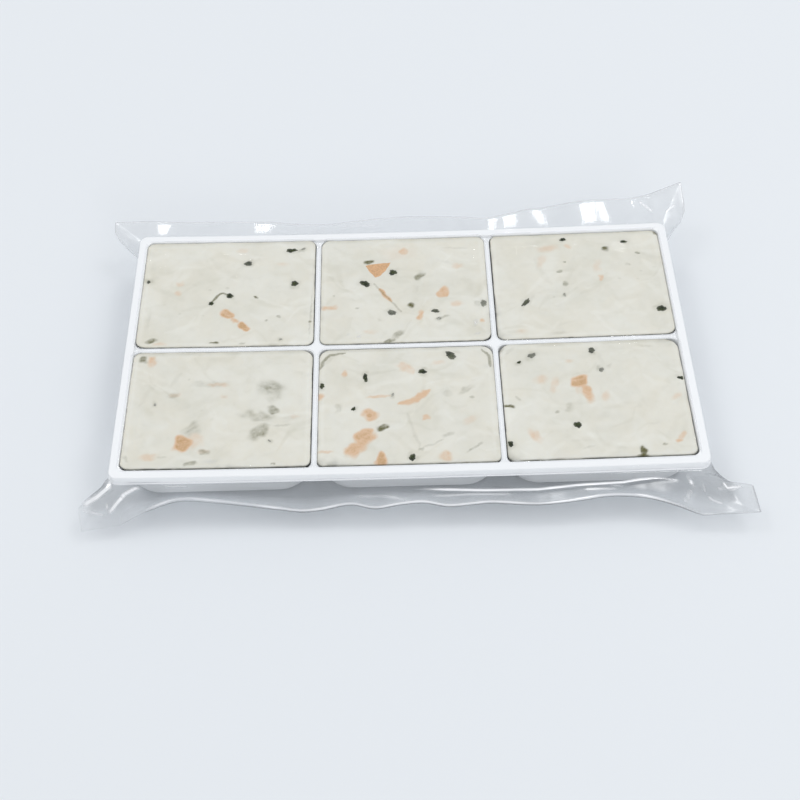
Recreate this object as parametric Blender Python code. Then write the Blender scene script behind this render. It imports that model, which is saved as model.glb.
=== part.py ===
"""Six radish cakes in a white divided tray, inside a clear bag with loose flaps."""
import bpy
import bmesh
from math import cos, hypot, pi, sin
from mathutils import Vector

# Tray, in metres. The origin is the middle of the flat underside.
HALF_LENGTH = 0.1125
HALF_WIDTH = 0.0613
RIM_TOP = 0.0190
RIM_WIDTH = 0.0040
RIM_CORNER = 0.0038
LIP_DROP = 0.0040
RIM_SHEET = 0.0009
WALL = 0.0008
RIB_X = 0.0357
RIB_WIDTH = 0.0020
RIB_DROP = 0.0012
WELL_CORNER = 0.0042
WELL_DRAFT = 0.0020
WELL_FILLET = 0.0034
# The rim's ends stand this much higher than its middle.
BOW = 0.0015

# Bag and the gap kept between touching pieces.
FILM = 0.0005
GAP = 0.0003
TRAY_FOOT = FILM + GAP

# Cakes
CAKE_TOP_EDGE = 0.0011
CAKE_SWELL = 0.0004
CAKE_LEVELS = (0.0000, -0.0002, 0.0001, -0.0001, 0.0002, -0.0001)

# Seam of the bag along the front and the back: points x, y, z on a smooth line.
FRONT_SEAM = (
    (-0.1087, -0.0718, 0.0052), (-0.1011, -0.0683, 0.0068), (-0.0960, -0.0668, 0.0078),
    (-0.0912, -0.0654, 0.0085), (-0.0872, -0.0648, 0.0090), (-0.0821, -0.0648, 0.0092),
    (-0.0745, -0.0655, 0.0088), (-0.0650, -0.0664, 0.0080), (-0.0556, -0.0675, 0.0072),
    (-0.0479, -0.0686, 0.0070), (-0.0410, -0.0694, 0.0066), (-0.0339, -0.0694, 0.0074),
    (-0.0223, -0.0681, 0.0085), (-0.0132, -0.0697, 0.0080), (-0.0039, -0.0686, 0.0085),
    (0.0051, -0.0681, 0.0086), (0.0143, -0.0694, 0.0076), (0.0234, -0.0690, 0.0079),
    (0.0306, -0.0687, 0.0082), (0.0468, -0.0699, 0.0080), (0.0560, -0.0695, 0.0082),
    (0.0657, -0.0686, 0.0086), (0.0722, -0.0677, 0.0088), (0.0781, -0.0676, 0.0090),
    (0.0855, -0.0682, 0.0089), (0.0922, -0.0693, 0.0082), (0.0998, -0.0717, 0.0074),
    (0.1068, -0.0745, 0.0065), (0.1115, -0.0760, 0.0062),
)
BACK_SEAM = (
    (-0.1154, 0.0739, 0.0170), (-0.0989, 0.0723, 0.0170), (-0.0814, 0.0716, 0.0170),
    (-0.0679, 0.0713, 0.0170), (-0.0578, 0.0708, 0.0170), (-0.0497, 0.0696, 0.0170),
    (-0.0417, 0.0688, 0.0169), (-0.0312, 0.0686, 0.0169), (-0.0217, 0.0698, 0.0169),
    (-0.0108, 0.0710, 0.0170), (0.0058, 0.0717, 0.0170), (0.0275, 0.0705, 0.0170),
    (0.0357, 0.0698, 0.0169), (0.0494, 0.0728, 0.0171), (0.0561, 0.0745, 0.0171),
    (0.0610, 0.0748, 0.0171), (0.0768, 0.0781, 0.0172), (0.0883, 0.0788, 0.0172),
    (0.0990, 0.0790, 0.0172), (0.1063, 0.0804, 0.0172), (0.1120, 0.0818, 0.0176),
)
# Free corners of the bag: the two ends of each one's short side edge, x, y, z.
EARS = {
    "front_right": ((0.1302, -0.0752, 0.0075), (0.1300, -0.0648, 0.0100)),
    "back_right": ((0.1236, 0.0760, 0.0165), (0.1225, 0.0852, 0.0190)),
    "back_left": ((-0.1236, 0.0736, 0.0170), (-0.1240, 0.0672, 0.0150)),
    "front_left": ((-0.1256, -0.0648, 0.0060), (-0.1236, -0.0738, 0.0045)),
}
SIDE_SEAM_Z = 0.0060
EAR_STEPS = 14


def clear_scene():
    for thing in list(bpy.data.objects):
        bpy.data.objects.remove(thing, do_unlink=True)


def make_collection(name):
    group = bpy.data.collections.new(name)
    bpy.context.scene.collection.children.link(group)
    return group


def make_material(name, colour, roughness, alpha=1.0):
    material = bpy.data.materials.new(name)
    material.use_nodes = True
    shader = material.node_tree.nodes["Principled BSDF"]
    shader.inputs["Base Color"].default_value = (*colour, 1.0)
    shader.inputs["Roughness"].default_value = roughness
    shader.inputs["Metallic"].default_value = 0.0
    shader.inputs["Alpha"].default_value = alpha
    material.diffuse_color = (*colour, alpha)
    return material


def finish_mesh(name, bm, group):
    bmesh.ops.recalc_face_normals(bm, faces=bm.faces)
    mesh = bpy.data.meshes.new(name)
    bm.to_mesh(mesh)
    bm.free()
    thing = bpy.data.objects.new(name, mesh)
    group.objects.link(thing)
    return thing


def tapered_block(x_range, y_range, z_range, inset, corner, foot=0.0, top=0.0, steps=4):
    """A box with round upright edges that narrows by inset towards its foot."""
    bm = bmesh.new()
    bmesh.ops.create_cube(bm, size=1.0)
    middle = [(r[0] + r[1]) / 2 for r in (x_range, y_range, z_range)]
    size = [r[1] - r[0] for r in (x_range, y_range, z_range)]
    for vert in bm.verts:
        low = vert.co.z < 0
        for axis in (0, 1):
            half = size[axis] / 2 - (inset if low else 0.0)
            vert.co[axis] = middle[axis] + (half if vert.co[axis] > 0 else -half)
        vert.co.z = middle[2] + (-size[2] / 2 if low else size[2] / 2)
    upright = [e for e in bm.edges if abs(e.verts[0].co.z - e.verts[1].co.z) > 0.5 * size[2]]
    bmesh.ops.bevel(bm, geom=upright, offset=corner, segments=steps, profile=0.5, affect="EDGES")
    for width, level in ((foot, z_range[0]), (top, z_range[1])):
        if width > 0:
            ring = [e for e in bm.edges
                    if all(abs(v.co.z - level) < 1e-6 for v in e.verts) and len(e.link_faces) == 2]
            bmesh.ops.bevel(bm, geom=ring, offset=width, segments=3, profile=0.5, affect="EDGES")
    return bm


def slice_mesh(bm, axis, places):
    """Cuts every face along planes, so that the surface can bend there."""
    normal = Vector((0, 0, 0))
    normal[axis] = 1.0
    for place in places:
        point = Vector((0, 0, 0))
        point[axis] = place
        geom = list(bm.verts) + list(bm.edges) + list(bm.faces)
        bmesh.ops.bisect_plane(bm, geom=geom, dist=1e-7, plane_co=point, plane_no=normal)


def bowed(point):
    """The tray's ends curl up; the underside stays flat."""
    lift = BOW * (point.x / HALF_LENGTH) ** 2
    share = min(1.0, max(0.0, (point.z - TRAY_FOOT) / (RIM_TOP - TRAY_FOOT)))
    return Vector((point.x, point.y, point.z + lift * share))


def wells():
    """The six wells' plan: x and y ranges of each mouth."""
    inner_x = HALF_LENGTH - RIM_WIDTH
    inner_y = HALF_WIDTH - RIM_WIDTH
    half_rib = RIB_WIDTH / 2
    columns = ((-inner_x, -RIB_X - half_rib), (-RIB_X + half_rib, RIB_X - half_rib),
               (RIB_X + half_rib, inner_x))
    rows = ((half_rib, inner_y), (-inner_y, -half_rib))
    return [(column, row) for row in rows for column in columns]


def grown(span, by):
    return (span[0] - by, span[1] + by)


def boolean(thing, operation, operand):
    cut = thing.modifiers.new(operation.title(), "BOOLEAN")
    cut.operation = operation
    cut.solver = "EXACT"
    cut.operand_type = "COLLECTION"
    cut.collection = operand


def make_tray(group, joined, removed, material):
    rim_x = (-HALF_LENGTH, HALF_LENGTH)
    rim_y = (-HALF_WIDTH, HALF_WIDTH)
    rib_top = RIM_TOP - RIB_DROP
    rim = finish_mesh("rim_blank", tapered_block(
        rim_x, rim_y, (RIM_TOP - LIP_DROP, RIM_TOP), 0.0, RIM_CORNER, top=0.0007), group)

    under = finish_mesh("under_rim", tapered_block(
        grown(rim_x, -WALL), grown(rim_y, -WALL),
        (RIM_TOP - LIP_DROP - 0.001, RIM_TOP - RIM_SHEET), 0.0, RIM_CORNER - WALL), removed["first"])
    under.display_type = "WIRE"
    under.hide_render = True

    inner_x = grown(rim_x, WALL - RIM_WIDTH)
    inner_y = grown(rim_y, WALL - RIM_WIDTH)
    web = (rib_top - 0.0010, RIM_TOP - 0.0004)
    finish_mesh("web", tapered_block(inner_x, inner_y, web, 0.0, WELL_CORNER + WALL), joined)
    for index, (span_x, span_y) in enumerate(wells()):
        shell = tapered_block(
            grown(span_x, WALL), grown(span_y, WALL), (TRAY_FOOT, RIM_TOP - 0.0005),
            WELL_DRAFT, WELL_CORNER + WALL, foot=WELL_FILLET)
        finish_mesh("well_%d" % (index + 1), shell, joined)
        cavity = tapered_block(
            span_x, span_y, (TRAY_FOOT + WALL, RIM_TOP + 0.0005),
            WELL_DRAFT, WELL_CORNER, foot=WELL_FILLET - WALL)
        finish_mesh("cavity_%d" % (index + 1), cavity, removed["second"])
    step = tapered_block(
        grown(rim_x, -RIM_WIDTH), grown(rim_y, -RIM_WIDTH), (rib_top, RIM_TOP + 0.002),
        0.0, WELL_CORNER)
    finish_mesh("step", step, removed["second"])
    for guides in (joined, removed["second"]):
        for guide in guides.objects:
            guide.display_type = "WIRE"
            guide.hide_render = True

    boolean(rim, "DIFFERENCE", removed["first"])
    boolean(rim, "UNION", joined)
    boolean(rim, "DIFFERENCE", removed["second"])
    bpy.context.view_layer.update()
    shape = rim.evaluated_get(bpy.context.evaluated_depsgraph_get())
    bm = bmesh.new()
    bm.from_mesh(shape.to_mesh())
    slice_mesh(bm, 0, [HALF_LENGTH * k / 5 for k in range(-4, 5)])
    for vert in bm.verts:
        vert.co = bowed(vert.co)
    bpy.data.objects.remove(rim, do_unlink=True)
    tray = finish_mesh("tray", bm, group)
    tray.data.materials.append(material)
    tray.data.shade_smooth()
    tray.data.set_sharp_from_angle(angle=0.6)
    return tray


def cake_height(x, y, number):
    """Slow unevenness of a cake's pressed top."""
    phase = 1.7 * number
    wave = sin(x * 95 + phase) * cos(y * 120 - 0.8 * phase)
    return CAKE_LEVELS[number - 1] + CAKE_SWELL * wave


def make_cake(number, span_x, span_y, group, material):
    rib_top = RIM_TOP - RIB_DROP
    block = tapered_block(
        grown(span_x, -GAP), grown(span_y, -GAP), (TRAY_FOOT + WALL + GAP, rib_top),
        WELL_DRAFT * 0.9, WELL_CORNER - GAP, foot=WELL_FILLET - WALL, top=CAKE_TOP_EDGE)
    width = span_x[1] - span_x[0]
    depth = span_y[1] - span_y[0]
    slice_mesh(block, 0, [span_x[0] + width * k / 6 for k in range(1, 6)])
    slice_mesh(block, 1, [span_y[0] + depth * k / 5 for k in range(1, 5)])
    for vert in block.verts:
        if vert.co.z > rib_top - 0.0001:
            vert.co.z += cake_height(vert.co.x, vert.co.y, number)
        vert.co = bowed(vert.co)
    cake = finish_mesh("cake_%d" % number, block, group)
    cake.data.materials.append(material)
    cake.data.shade_smooth()
    cake.data.set_sharp_from_angle(angle=0.7)
    return cake


def slope(rows, k, axis):
    """How steeply a table's line passes through its point k."""
    before = rows[max(k - 1, 0)]
    after = rows[min(k + 1, len(rows) - 1)]
    return (after[axis] - before[axis]) / (after[0] - before[0])


def eased(table, x):
    """Reads y and z at x from the smooth line through a table's points."""
    rows = sorted(table)
    if x <= rows[0][0]:
        return rows[0][1:]
    for k, (low, high) in enumerate(zip(rows, rows[1:])):
        if x <= high[0]:
            width = high[0] - low[0]
            t = (x - low[0]) / width
            return tuple(
                low[axis] * (2 * t ** 3 - 3 * t ** 2 + 1) + high[axis] * (3 * t ** 2 - 2 * t ** 3)
                + width * slope(rows, k, axis) * (t ** 3 - 2 * t ** 2 + t)
                + width * slope(rows, k + 1, axis) * (t ** 3 - t ** 2) for axis in (1, 2))
    return rows[-1][1:]


def outline(half_x, half_y, corner, steps_x=26, steps_y=12):
    """A round-cornered rectangle, counterclockwise from the front edge's left end."""
    points = []
    straight_x = half_x - corner
    straight_y = half_y - corner
    for k in range(steps_x):
        points.append(("front", -straight_x + 2 * straight_x * k / steps_x, -half_y))
    points += arc("front_right", straight_x, -straight_y, corner, -pi / 2)
    for k in range(1, steps_y):
        points.append(("right", half_x, -straight_y + 2 * straight_y * k / steps_y))
    points += arc("back_right", straight_x, straight_y, corner, 0.0)
    for k in range(1, steps_x):
        points.append(("back", straight_x - 2 * straight_x * k / steps_x, half_y))
    points += arc("back_left", -straight_x, straight_y, corner, pi / 2)
    for k in range(1, steps_y):
        points.append(("left", -half_x, straight_y - 2 * straight_y * k / steps_y))
    points += arc("front_left", -straight_x, -straight_y, corner, pi)[:-1]
    return points


def arc(name, x, y, radius, start):
    return [(name, x + radius * cos(start + pi / 2 * k / EAR_STEPS),
             y + radius * sin(start + pi / 2 * k / EAR_STEPS)) for k in range(EAR_STEPS + 1)]


def along(path, share):
    """The point at a share of a polyline's length."""
    steps = [(b - a).length for a, b in zip(path, path[1:])]
    left = share * sum(steps)
    for start, end, step in zip(path, path[1:], steps):
        if left <= step:
            return start.lerp(end, left / step)
        left -= step
    return path[-1].copy()


def seam_ring():
    """The bag's outer edge, point for point beside the tray's outline."""
    half_x = HALF_LENGTH + GAP + FILM
    half_y = HALF_WIDTH + GAP + FILM
    ring = []
    places = outline(half_x, half_y, RIM_CORNER)
    straight_x = half_x - RIM_CORNER
    for name, x, y in places:
        if name == "front":
            ring.append(Vector((x, *eased(FRONT_SEAM, x))))
        elif name == "back":
            ring.append(Vector((x, *eased(BACK_SEAM, x))))
        elif name in ("left", "right"):
            ring.append(Vector((x, y, SIDE_SEAM_Z)))
        else:
            ring.append(None)
    for name, (first, second) in EARS.items():
        spots = [k for k, place in enumerate(places) if place[0] == name]
        side = 1 if "right" in name else -1
        table = FRONT_SEAM if "front" in name else BACK_SEAM
        edge = Vector((side * straight_x, *eased(table, side * straight_x)))
        sign = -1 if "front" in name else 1
        beside = Vector((side * half_x, sign * (half_y - RIM_CORNER), SIDE_SEAM_Z))
        path = [edge, Vector(first), Vector(second), beside]
        if name in ("back_right", "front_left"):
            path = [beside, Vector(first), Vector(second), edge]
        for step, spot in enumerate(spots):
            ring[spot] = along(path, step / EAR_STEPS)
    return ring


def rim_ring(inset, z_drop):
    """A ring beside the tray's lip, bowed like the rim."""
    half_x = HALF_LENGTH + GAP + FILM - inset
    half_y = HALF_WIDTH + GAP + FILM - inset
    corner = RIM_CORNER + GAP + FILM - inset
    return [bowed(Vector((x, y, RIM_TOP - z_drop)))
            for name, x, y in outline(half_x, half_y, corner)]


def foot_ring(inset, z):
    half_x = HALF_LENGTH - 0.0042 - inset
    half_y = HALF_WIDTH - 0.0036 - inset
    return [Vector((x, y, z)) for name, x, y in outline(half_x, half_y, 0.0080)]


def between(ring_a, ring_b, share, lift=0.0):
    return [a.lerp(b, share) + Vector((0, 0, lift)) for a, b in zip(ring_a, ring_b)]


def bag_rings():
    """Rings from the mouth beside the rim, out to the seam, under the tray, and back inside."""
    seam = seam_ring()
    lip_out = rim_ring(0.0, LIP_DROP)
    foot_out = foot_ring(0.0, 0.0)
    lip_in = rim_ring(FILM, LIP_DROP + 0.0004)
    foot_in = foot_ring(-0.0002, FILM)
    down = Vector((0, 0, -FILM))
    outside = [rim_ring(0.0, 0.0), lip_out, between(lip_out, seam, 0.35),
               between(lip_out, seam, 0.70), seam]
    outside.append([point + down for point in seam])
    low = outside[-1]
    outside += [between(low, foot_out, 0.35), between(low, foot_out, 0.70), foot_out]
    inside = [rim_ring(FILM, 0.0), lip_in]
    pocket = []
    for lip, edge, foot in zip(lip_in, seam, foot_in):
        inner = lip.lerp(edge, 0.30)
        reach = hypot(edge.x - lip.x, edge.y - lip.y)
        if reach < 0.0012:
            inner = Vector((lip.x, lip.y, edge.z))
        inner.z = max(inner.z - 2 * FILM, foot.z + 0.0030)
        pocket.append(inner)
    inside += [pocket, foot_in]
    return outside, inside


def make_bag(group, material):
    outside, inside = bag_rings()
    rings = list(reversed(inside)) + outside
    count = len(rings[0])
    bm = bmesh.new()
    rows = [[bm.verts.new(point) for point in ring] for ring in rings]
    for low, high in zip(rows, rows[1:]):
        for k in range(count):
            after = (k + 1) % count
            bm.faces.new((low[k], low[after], high[after], high[k]))
    bm.faces.new(rows[0])
    bm.faces.new(list(reversed(rows[-1])))
    bmesh.ops.triangulate(bm, faces=bm.faces)
    bag = finish_mesh("bag", bm, group)
    bag.data.materials.append(material)
    bag.data.shade_smooth()
    bag.data.set_sharp_from_angle(angle=0.8)
    return bag


def build():
    clear_scene()
    pack = make_collection("radish_cake_pack")
    joined = make_collection("tray_shells")
    removed = {"first": make_collection("rim_cutters"), "second": make_collection("well_cutters")}
    white = make_material("white_tray", (0.84, 0.87, 0.91), 0.42)
    dough = make_material("radish_cake", (0.73, 0.72, 0.63), 0.50)
    clear = make_material("clear_film", (0.62, 0.66, 0.70), 0.12, alpha=0.35)
    make_tray(pack, joined, removed, white)
    for number, (span_x, span_y) in enumerate(wells(), start=1):
        make_cake(number, span_x, span_y, pack, dough)
    make_bag(pack, clear)


build()
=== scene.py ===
from math import cos, pi, radians, sin

import bmesh
import bpy
import numpy as np
from mathutils import Matrix, Vector
from mathutils.interpolate import poly_3d_calc


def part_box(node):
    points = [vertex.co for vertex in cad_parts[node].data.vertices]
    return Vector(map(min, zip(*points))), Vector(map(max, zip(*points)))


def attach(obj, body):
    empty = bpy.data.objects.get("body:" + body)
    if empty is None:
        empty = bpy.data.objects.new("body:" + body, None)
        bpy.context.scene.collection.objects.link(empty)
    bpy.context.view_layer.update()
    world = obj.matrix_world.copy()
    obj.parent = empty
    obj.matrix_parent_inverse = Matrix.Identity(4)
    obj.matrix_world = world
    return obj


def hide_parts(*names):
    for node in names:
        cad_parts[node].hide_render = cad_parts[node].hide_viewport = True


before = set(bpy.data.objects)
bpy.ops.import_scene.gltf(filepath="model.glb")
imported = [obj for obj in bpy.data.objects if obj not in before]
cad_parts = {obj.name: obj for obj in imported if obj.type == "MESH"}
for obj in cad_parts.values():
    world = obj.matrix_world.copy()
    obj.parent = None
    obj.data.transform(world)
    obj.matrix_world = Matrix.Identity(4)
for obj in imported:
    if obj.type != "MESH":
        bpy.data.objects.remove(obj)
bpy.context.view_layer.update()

trayLow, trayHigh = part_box("tray")
mm = 0.001

bow = 1.5 * mm                   # the rim's ends stand this much higher than its middle

# The pack as a whole, in metres
pack = {
    "halfLength": trayHigh[0],
    "halfWidth": trayHigh[1],
    "rimTop": trayHigh[2] - bow,
    "foot": trayLow[2],
    "rimWidth": 4.0 * mm,
    "ribX": 35.7 * mm,
    "ribWidth": 2.1 * mm,
    "ribDrop": 1.2 * mm,
    "wellCorner": 3.0 * mm,
}
ribTop = pack["rimTop"] - pack["ribDrop"]
innerX = pack["halfLength"] - pack["rimWidth"]
innerY = pack["halfWidth"] - pack["rimWidth"]
near = 1e-6                      # two places closer than this are one

# The photograph's view
view = {
    "place": (-0.0016, -0.2994, 0.4008),
    "tilt": 35.44,
    "turn": 0.26,
    "roll": -1.79,
    "lens": 54.55,
    "sensor": 36.0,
    "frame": 800,
}
midPixel = view["frame"] / 2
pixelReach = view["lens"] / view["sensor"] * view["frame"]


# Small helpers

def deselect():
    bpy.ops.object.select_all(action="DESELECT")


def onlyThis(thing):
    deselect()
    thing.select_set(True)
    bpy.context.view_layer.objects.active = thing


# Adds a shape with nothing else selected
def addShape(operator, **values):
    deselect()
    operator(**values)
    return bpy.context.object


# Adds a flat grid, and gives the column and row of each of its points
def addGrid(cols, rows):
    sheet = addShape(bpy.ops.mesh.primitive_grid_add, x_subdivisions=cols, y_subdivisions=rows, size=1.0)
    places = (getPoints(sheet)[:, :2] + 0.5) * (cols, rows)
    return sheet, *np.rint(places).astype(int).T


def startEdit(thing, kind="VERT"):
    onlyThis(thing)
    bpy.ops.object.mode_set(mode="EDIT")
    bpy.ops.mesh.select_mode(type=kind)


def endEdit():
    bpy.ops.object.mode_set(mode="OBJECT")


def selectAll():
    bpy.ops.mesh.select_all(action="SELECT")


# Selects the edges or faces that pass the test
def pick(thing, kind, test):
    bpy.ops.mesh.select_mode(type=kind)
    bpy.ops.mesh.select_all(action="DESELECT")
    mesh = bmesh.from_edit_mesh(thing.data)
    for item in mesh.edges if kind == "EDGE" else mesh.faces:
        if test(item):
            item.select_set(True)
    bmesh.update_edit_mesh(thing.data)


def pickBorder(thing):
    pick(thing, "EDGE", lambda edge: edge.is_boundary)


# Whether every corner of an edge or face lies on a level
def allAt(item, level):
    return all(abs(vert.co.z - level) < near for vert in item.verts)


def turnOutward():
    selectAll()
    bpy.ops.mesh.normals_make_consistent(inside=False)


# Closes an open mesh in edit mode with one face
def closeOff(thing):
    pickBorder(thing)
    bpy.ops.mesh.edge_face_add()
    turnOutward()


# Cuts the whole mesh in edit mode along upright planes; axis is 0 for x and 1 for y
def cutAt(places, axis):
    for place in places:
        spot = (place, 0, 0) if axis == 0 else (0, place, 0)
        facing = (1, 0, 0) if axis == 0 else (0, 1, 0)
        selectAll()
        bpy.ops.mesh.bisect(plane_co=spot, plane_no=facing, threshold=1e-7)


def joinAll(things, name):
    onlyThis(things[0])
    for thing in things[1:]:
        thing.select_set(True)
    if len(things) > 1:
        bpy.ops.object.join()
    things[0].name = name
    things[0].data.name = name
    return things[0]


def setAll(thing, values):
    for key, value in values.items():
        setattr(thing, key, value)


def applyModifier(thing, kind, **values):
    onlyThis(thing)
    modifier = thing.modifiers.new(kind, kind)
    setAll(modifier, values)
    bpy.ops.object.modifier_apply(modifier=modifier.name)


def freeze(thing):
    onlyThis(thing)
    bpy.ops.object.transform_apply(location=True, rotation=True, scale=True)


# Leaves the object at the origin, unturned and unscaled, shaded smooth
def settle(thing, angle):
    freeze(thing)
    bpy.ops.object.shade_smooth_by_angle(angle=radians(angle))
    deselect()


# Gives a finished piece its material and its place in the frame
def hand(piece, material, node=None):
    piece.data.materials.clear()
    piece.data.materials.append(material)
    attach(piece, "root")
    if node:
        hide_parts(node)


def getPoints(thing):
    flat = np.empty(len(thing.data.vertices) * 3)
    thing.data.vertices.foreach_get("co", flat)
    return flat.reshape(-1, 3)


def setPoints(thing, points):
    thing.data.vertices.foreach_set("co", np.asarray(points, float).ravel())
    thing.data.update()


def smoothStep(low, high, value):
    share = np.clip((value - low) / (high - low), 0.0, 1.0)
    return share * share * (3 - 2 * share)


# Draws a box's four corners in to arcs; radii go back left, back right, front right, front left
def cornerSqueeze(x, y, halfX, halfY, radii):
    x = x.copy()
    y = y.copy()
    for radius, signX, signY in zip(radii, (-1, 1, 1, -1), (1, 1, -1, -1)):
        qx = signX * x - (halfX - radius)
        qy = signY * y - (halfY - radius)
        inside = (qx > 0) & (qy > 0)
        reach = np.sqrt(qx ** 2 + qy ** 2) + 1e-12
        pull = np.maximum(qx, qy) / reach
        x = np.where(inside, signX * (halfX - radius + qx * pull), x)
        y = np.where(inside, signY * (halfY - radius + qy * pull), y)
    return x, y


# Seeded value noise from -1 to 1 with soft turns, about one bump for each cell
def softNoise(x, y, cell, seed):
    grid = np.random.default_rng(seed).random((64, 64)) * 2 - 1
    u = np.asarray(x, float) / cell + 31.7
    v = np.asarray(y, float) / cell + 17.3
    col = np.floor(u).astype(int)
    row = np.floor(v).astype(int)
    across = smoothStep(0, 1, u - col)
    up = smoothStep(0, 1, v - row)
    lower, upper = (grid[r % 64, col % 64] * (1 - across) + grid[r % 64, (col + 1) % 64] * across
                    for r in (row, row + 1))
    return lower * (1 - up) + upper * up


# Several noises in one; each is a height, a cell and a seed
def mixedNoise(x, y, *layers):
    return sum(height * softNoise(x, y, cell, seed) for height, cell, seed in layers)


# 1 inside an outline that lies at 1 and 0 outside it
def softInside(away, softness):
    return 1 - smoothStep(1 - 0.65 * softness, 1 + 0.65 * softness, away)


# Distance from each point to a line through the given spots, and how far along it that is, 0 to 1
def lineDistance(x, y, spots):
    spots = np.asarray(spots, float)
    lengths = np.hypot(*np.diff(spots, axis=0).T)
    total = lengths.sum()
    best = np.full(np.shape(x), 1e9)
    along = np.zeros(np.shape(x))
    start = 0.0
    for (ax, ay), (bx, by), length in zip(spots, spots[1:], lengths):
        share = np.clip(((x - ax) * (bx - ax) + (y - ay) * (by - ay)) / length ** 2, 0, 1)
        away = np.hypot(x - ax - share * (bx - ax), y - ay - share * (by - ay))
        along = np.where(away < best, (start + share * length) / total, along)
        best = np.minimum(best, away)
        start += length
    return best, along


# How far the tray's curl lifts a point
def bowLift(x, z):
    share = np.clip((z - pack["foot"]) / (pack["rimTop"] - pack["foot"]), 0.0, 1.0)
    return bow * (np.asarray(x) / pack["halfLength"]) ** 2 * share


def bowUp(points):
    lifted = points.copy()
    lifted[:, 2] += bowLift(points[:, 0], points[:, 2])
    return lifted


# Stores one colour for each vertex
def setColours(thing, name, values):
    layer = thing.data.color_attributes.new(name=name, type="FLOAT_COLOR", domain="POINT")
    layer.data.foreach_set("color", np.clip(values, 0.0, 1.0).astype(np.float32).ravel())


# Camera

def viewMatrix():
    turned = Matrix.Translation(view["place"])
    for name, axis in (("turn", "Z"), ("tilt", "X"), ("roll", "Z")):
        turned = turned @ Matrix.Rotation(radians(view[name]), 4, axis)
    return turned


def addCamera():
    bpy.ops.object.camera_add()
    camera = bpy.context.object
    camera.name = "viewCamera"
    camera.data.lens = view["lens"]
    camera.data.sensor_width = view["sensor"]
    camera.data.clip_start = 0.01
    camera.matrix_world = viewMatrix()
    bpy.context.scene.camera = camera


# The point on the level z that the photograph shows at a pixel
def spotAt(px, py, z):
    slant = Vector(((px - midPixel) / pixelReach, (midPixel - py) / pixelReach, -1.0))
    ray = viewMatrix().to_3x3() @ slant
    share = (z - view["place"][2]) / ray.z
    return Vector(view["place"]) + ray * share


# The photograph's pixels at which points show
def pixelsOf(points):
    local = (points - np.array(view["place"])) @ np.array(viewMatrix().to_3x3())
    flat = pixelReach * local[:, :2] / local[:, 2:]
    return midPixel - flat[:, 0], midPixel + flat[:, 1]


# Shader parts

def newMaterial(name):
    material = bpy.data.materials.new(name)
    material.use_nodes = True
    tree = material.node_tree
    return material, tree, tree.nodes["Principled BSDF"]


def addNode(tree, kind, **values):
    node = tree.nodes.new(kind)
    setAll(node, values)
    return node


# Gives a node's inputs their numbers, colours or links
def setInputs(node, values):
    for name, value in values.items():
        socket = node.inputs[name]
        if isinstance(value, bpy.types.NodeSocket):
            node.id_data.links.new(value, socket)
        else:
            socket.default_value = (*value, 1.0) if socket.type == "RGBA" else value


# Soft clouds and fine grain, as a value to tint with and a height for a bump
def makeMottleGroup():
    group = bpy.data.node_groups.new("mottleAndGrain", "ShaderNodeTree")
    for name in ("Cloud Scale", "Grain Scale", "Grain Share"):
        group.interface.new_socket(name=name, in_out="INPUT", socket_type="NodeSocketFloat")
    for name in ("Cloud", "Height"):
        group.interface.new_socket(name=name, in_out="OUTPUT", socket_type="NodeSocketFloat")
    source = group.nodes.new("NodeGroupInput").outputs
    result = group.nodes.new("NodeGroupOutput")
    place = group.nodes.new("ShaderNodeTexCoord").outputs["Object"]
    shares = []
    for name, detail, distortion in (("Cloud", 4.0, 0.6), ("Grain", 3.0, 0.0)):
        noise = group.nodes.new("ShaderNodeTexNoise")
        setInputs(noise, {"Vector": place, "Scale": source[name + " Scale"], "Detail": detail,
                          "Distortion": distortion})
        shares.append(noise.outputs["Fac"])
    mix = addNode(group, "ShaderNodeMix", data_type="FLOAT")
    setInputs(mix, {"Factor": source["Grain Share"], "A": shares[0], "B": shares[1]})
    setInputs(result, {"Cloud": shares[0], "Height": mix.outputs["Result"]})
    return group


mottle = makeMottleGroup()


# The mottle's cloud and height
def addMottle(tree, cloud, grain, share):
    node = addNode(tree, "ShaderNodeGroup", node_tree=mottle)
    setInputs(node, {"Cloud Scale": cloud, "Grain Scale": grain, "Grain Share": share})
    return node.outputs["Cloud"], node.outputs["Height"]


# A colour attribute's red, green, blue and alpha
def addPaint(tree, name):
    paint = addNode(tree, "ShaderNodeAttribute", attribute_name=name)
    parts = tree.nodes.new("ShaderNodeSeparateColor")
    setInputs(parts, {"Color": paint.outputs["Color"]})
    return [*parts.outputs, paint.outputs["Alpha"]]


def addBump(tree, shader, height, distance, strength):
    bump = tree.nodes.new("ShaderNodeBump")
    setInputs(bump, {"Height": height, "Distance": distance, "Strength": strength})
    setInputs(shader, {"Normal": bump.outputs["Normal"]})


def addRange(tree, value, fromLow, fromHigh, toLow, toHigh):
    node = tree.nodes.new("ShaderNodeMapRange")
    setInputs(node, {"Value": value, "From Min": fromLow, "From Max": fromHigh, "To Min": toLow,
                     "To Max": toHigh})
    return node.outputs["Result"]


# Mixes two colours, or the colours of two sockets, by a factor
def addTint(tree, factor, first, second):
    node = addNode(tree, "ShaderNodeMix", data_type="RGBA")
    setInputs(node, {"Factor": factor, "A": first, "B": second})
    return node.outputs["Result"]


# Mixes two colours by a value: none of the second at its low end, the given share at its high end
def addFade(tree, value, low, high, share, first, second):
    return addTint(tree, addRange(tree, value, low, high, 0.0, share), first, second)


# Multiplies a socket by a number or another socket, and adds a third
def addSum(tree, value, factor, more):
    node = addNode(tree, "ShaderNodeMath", operation="MULTIPLY_ADD")
    for socket, source in zip(node.inputs, (value, factor, more)):
        if isinstance(source, float):
            socket.default_value = source
        else:
            tree.links.new(source, socket)
    return node.outputs["Value"]


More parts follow.
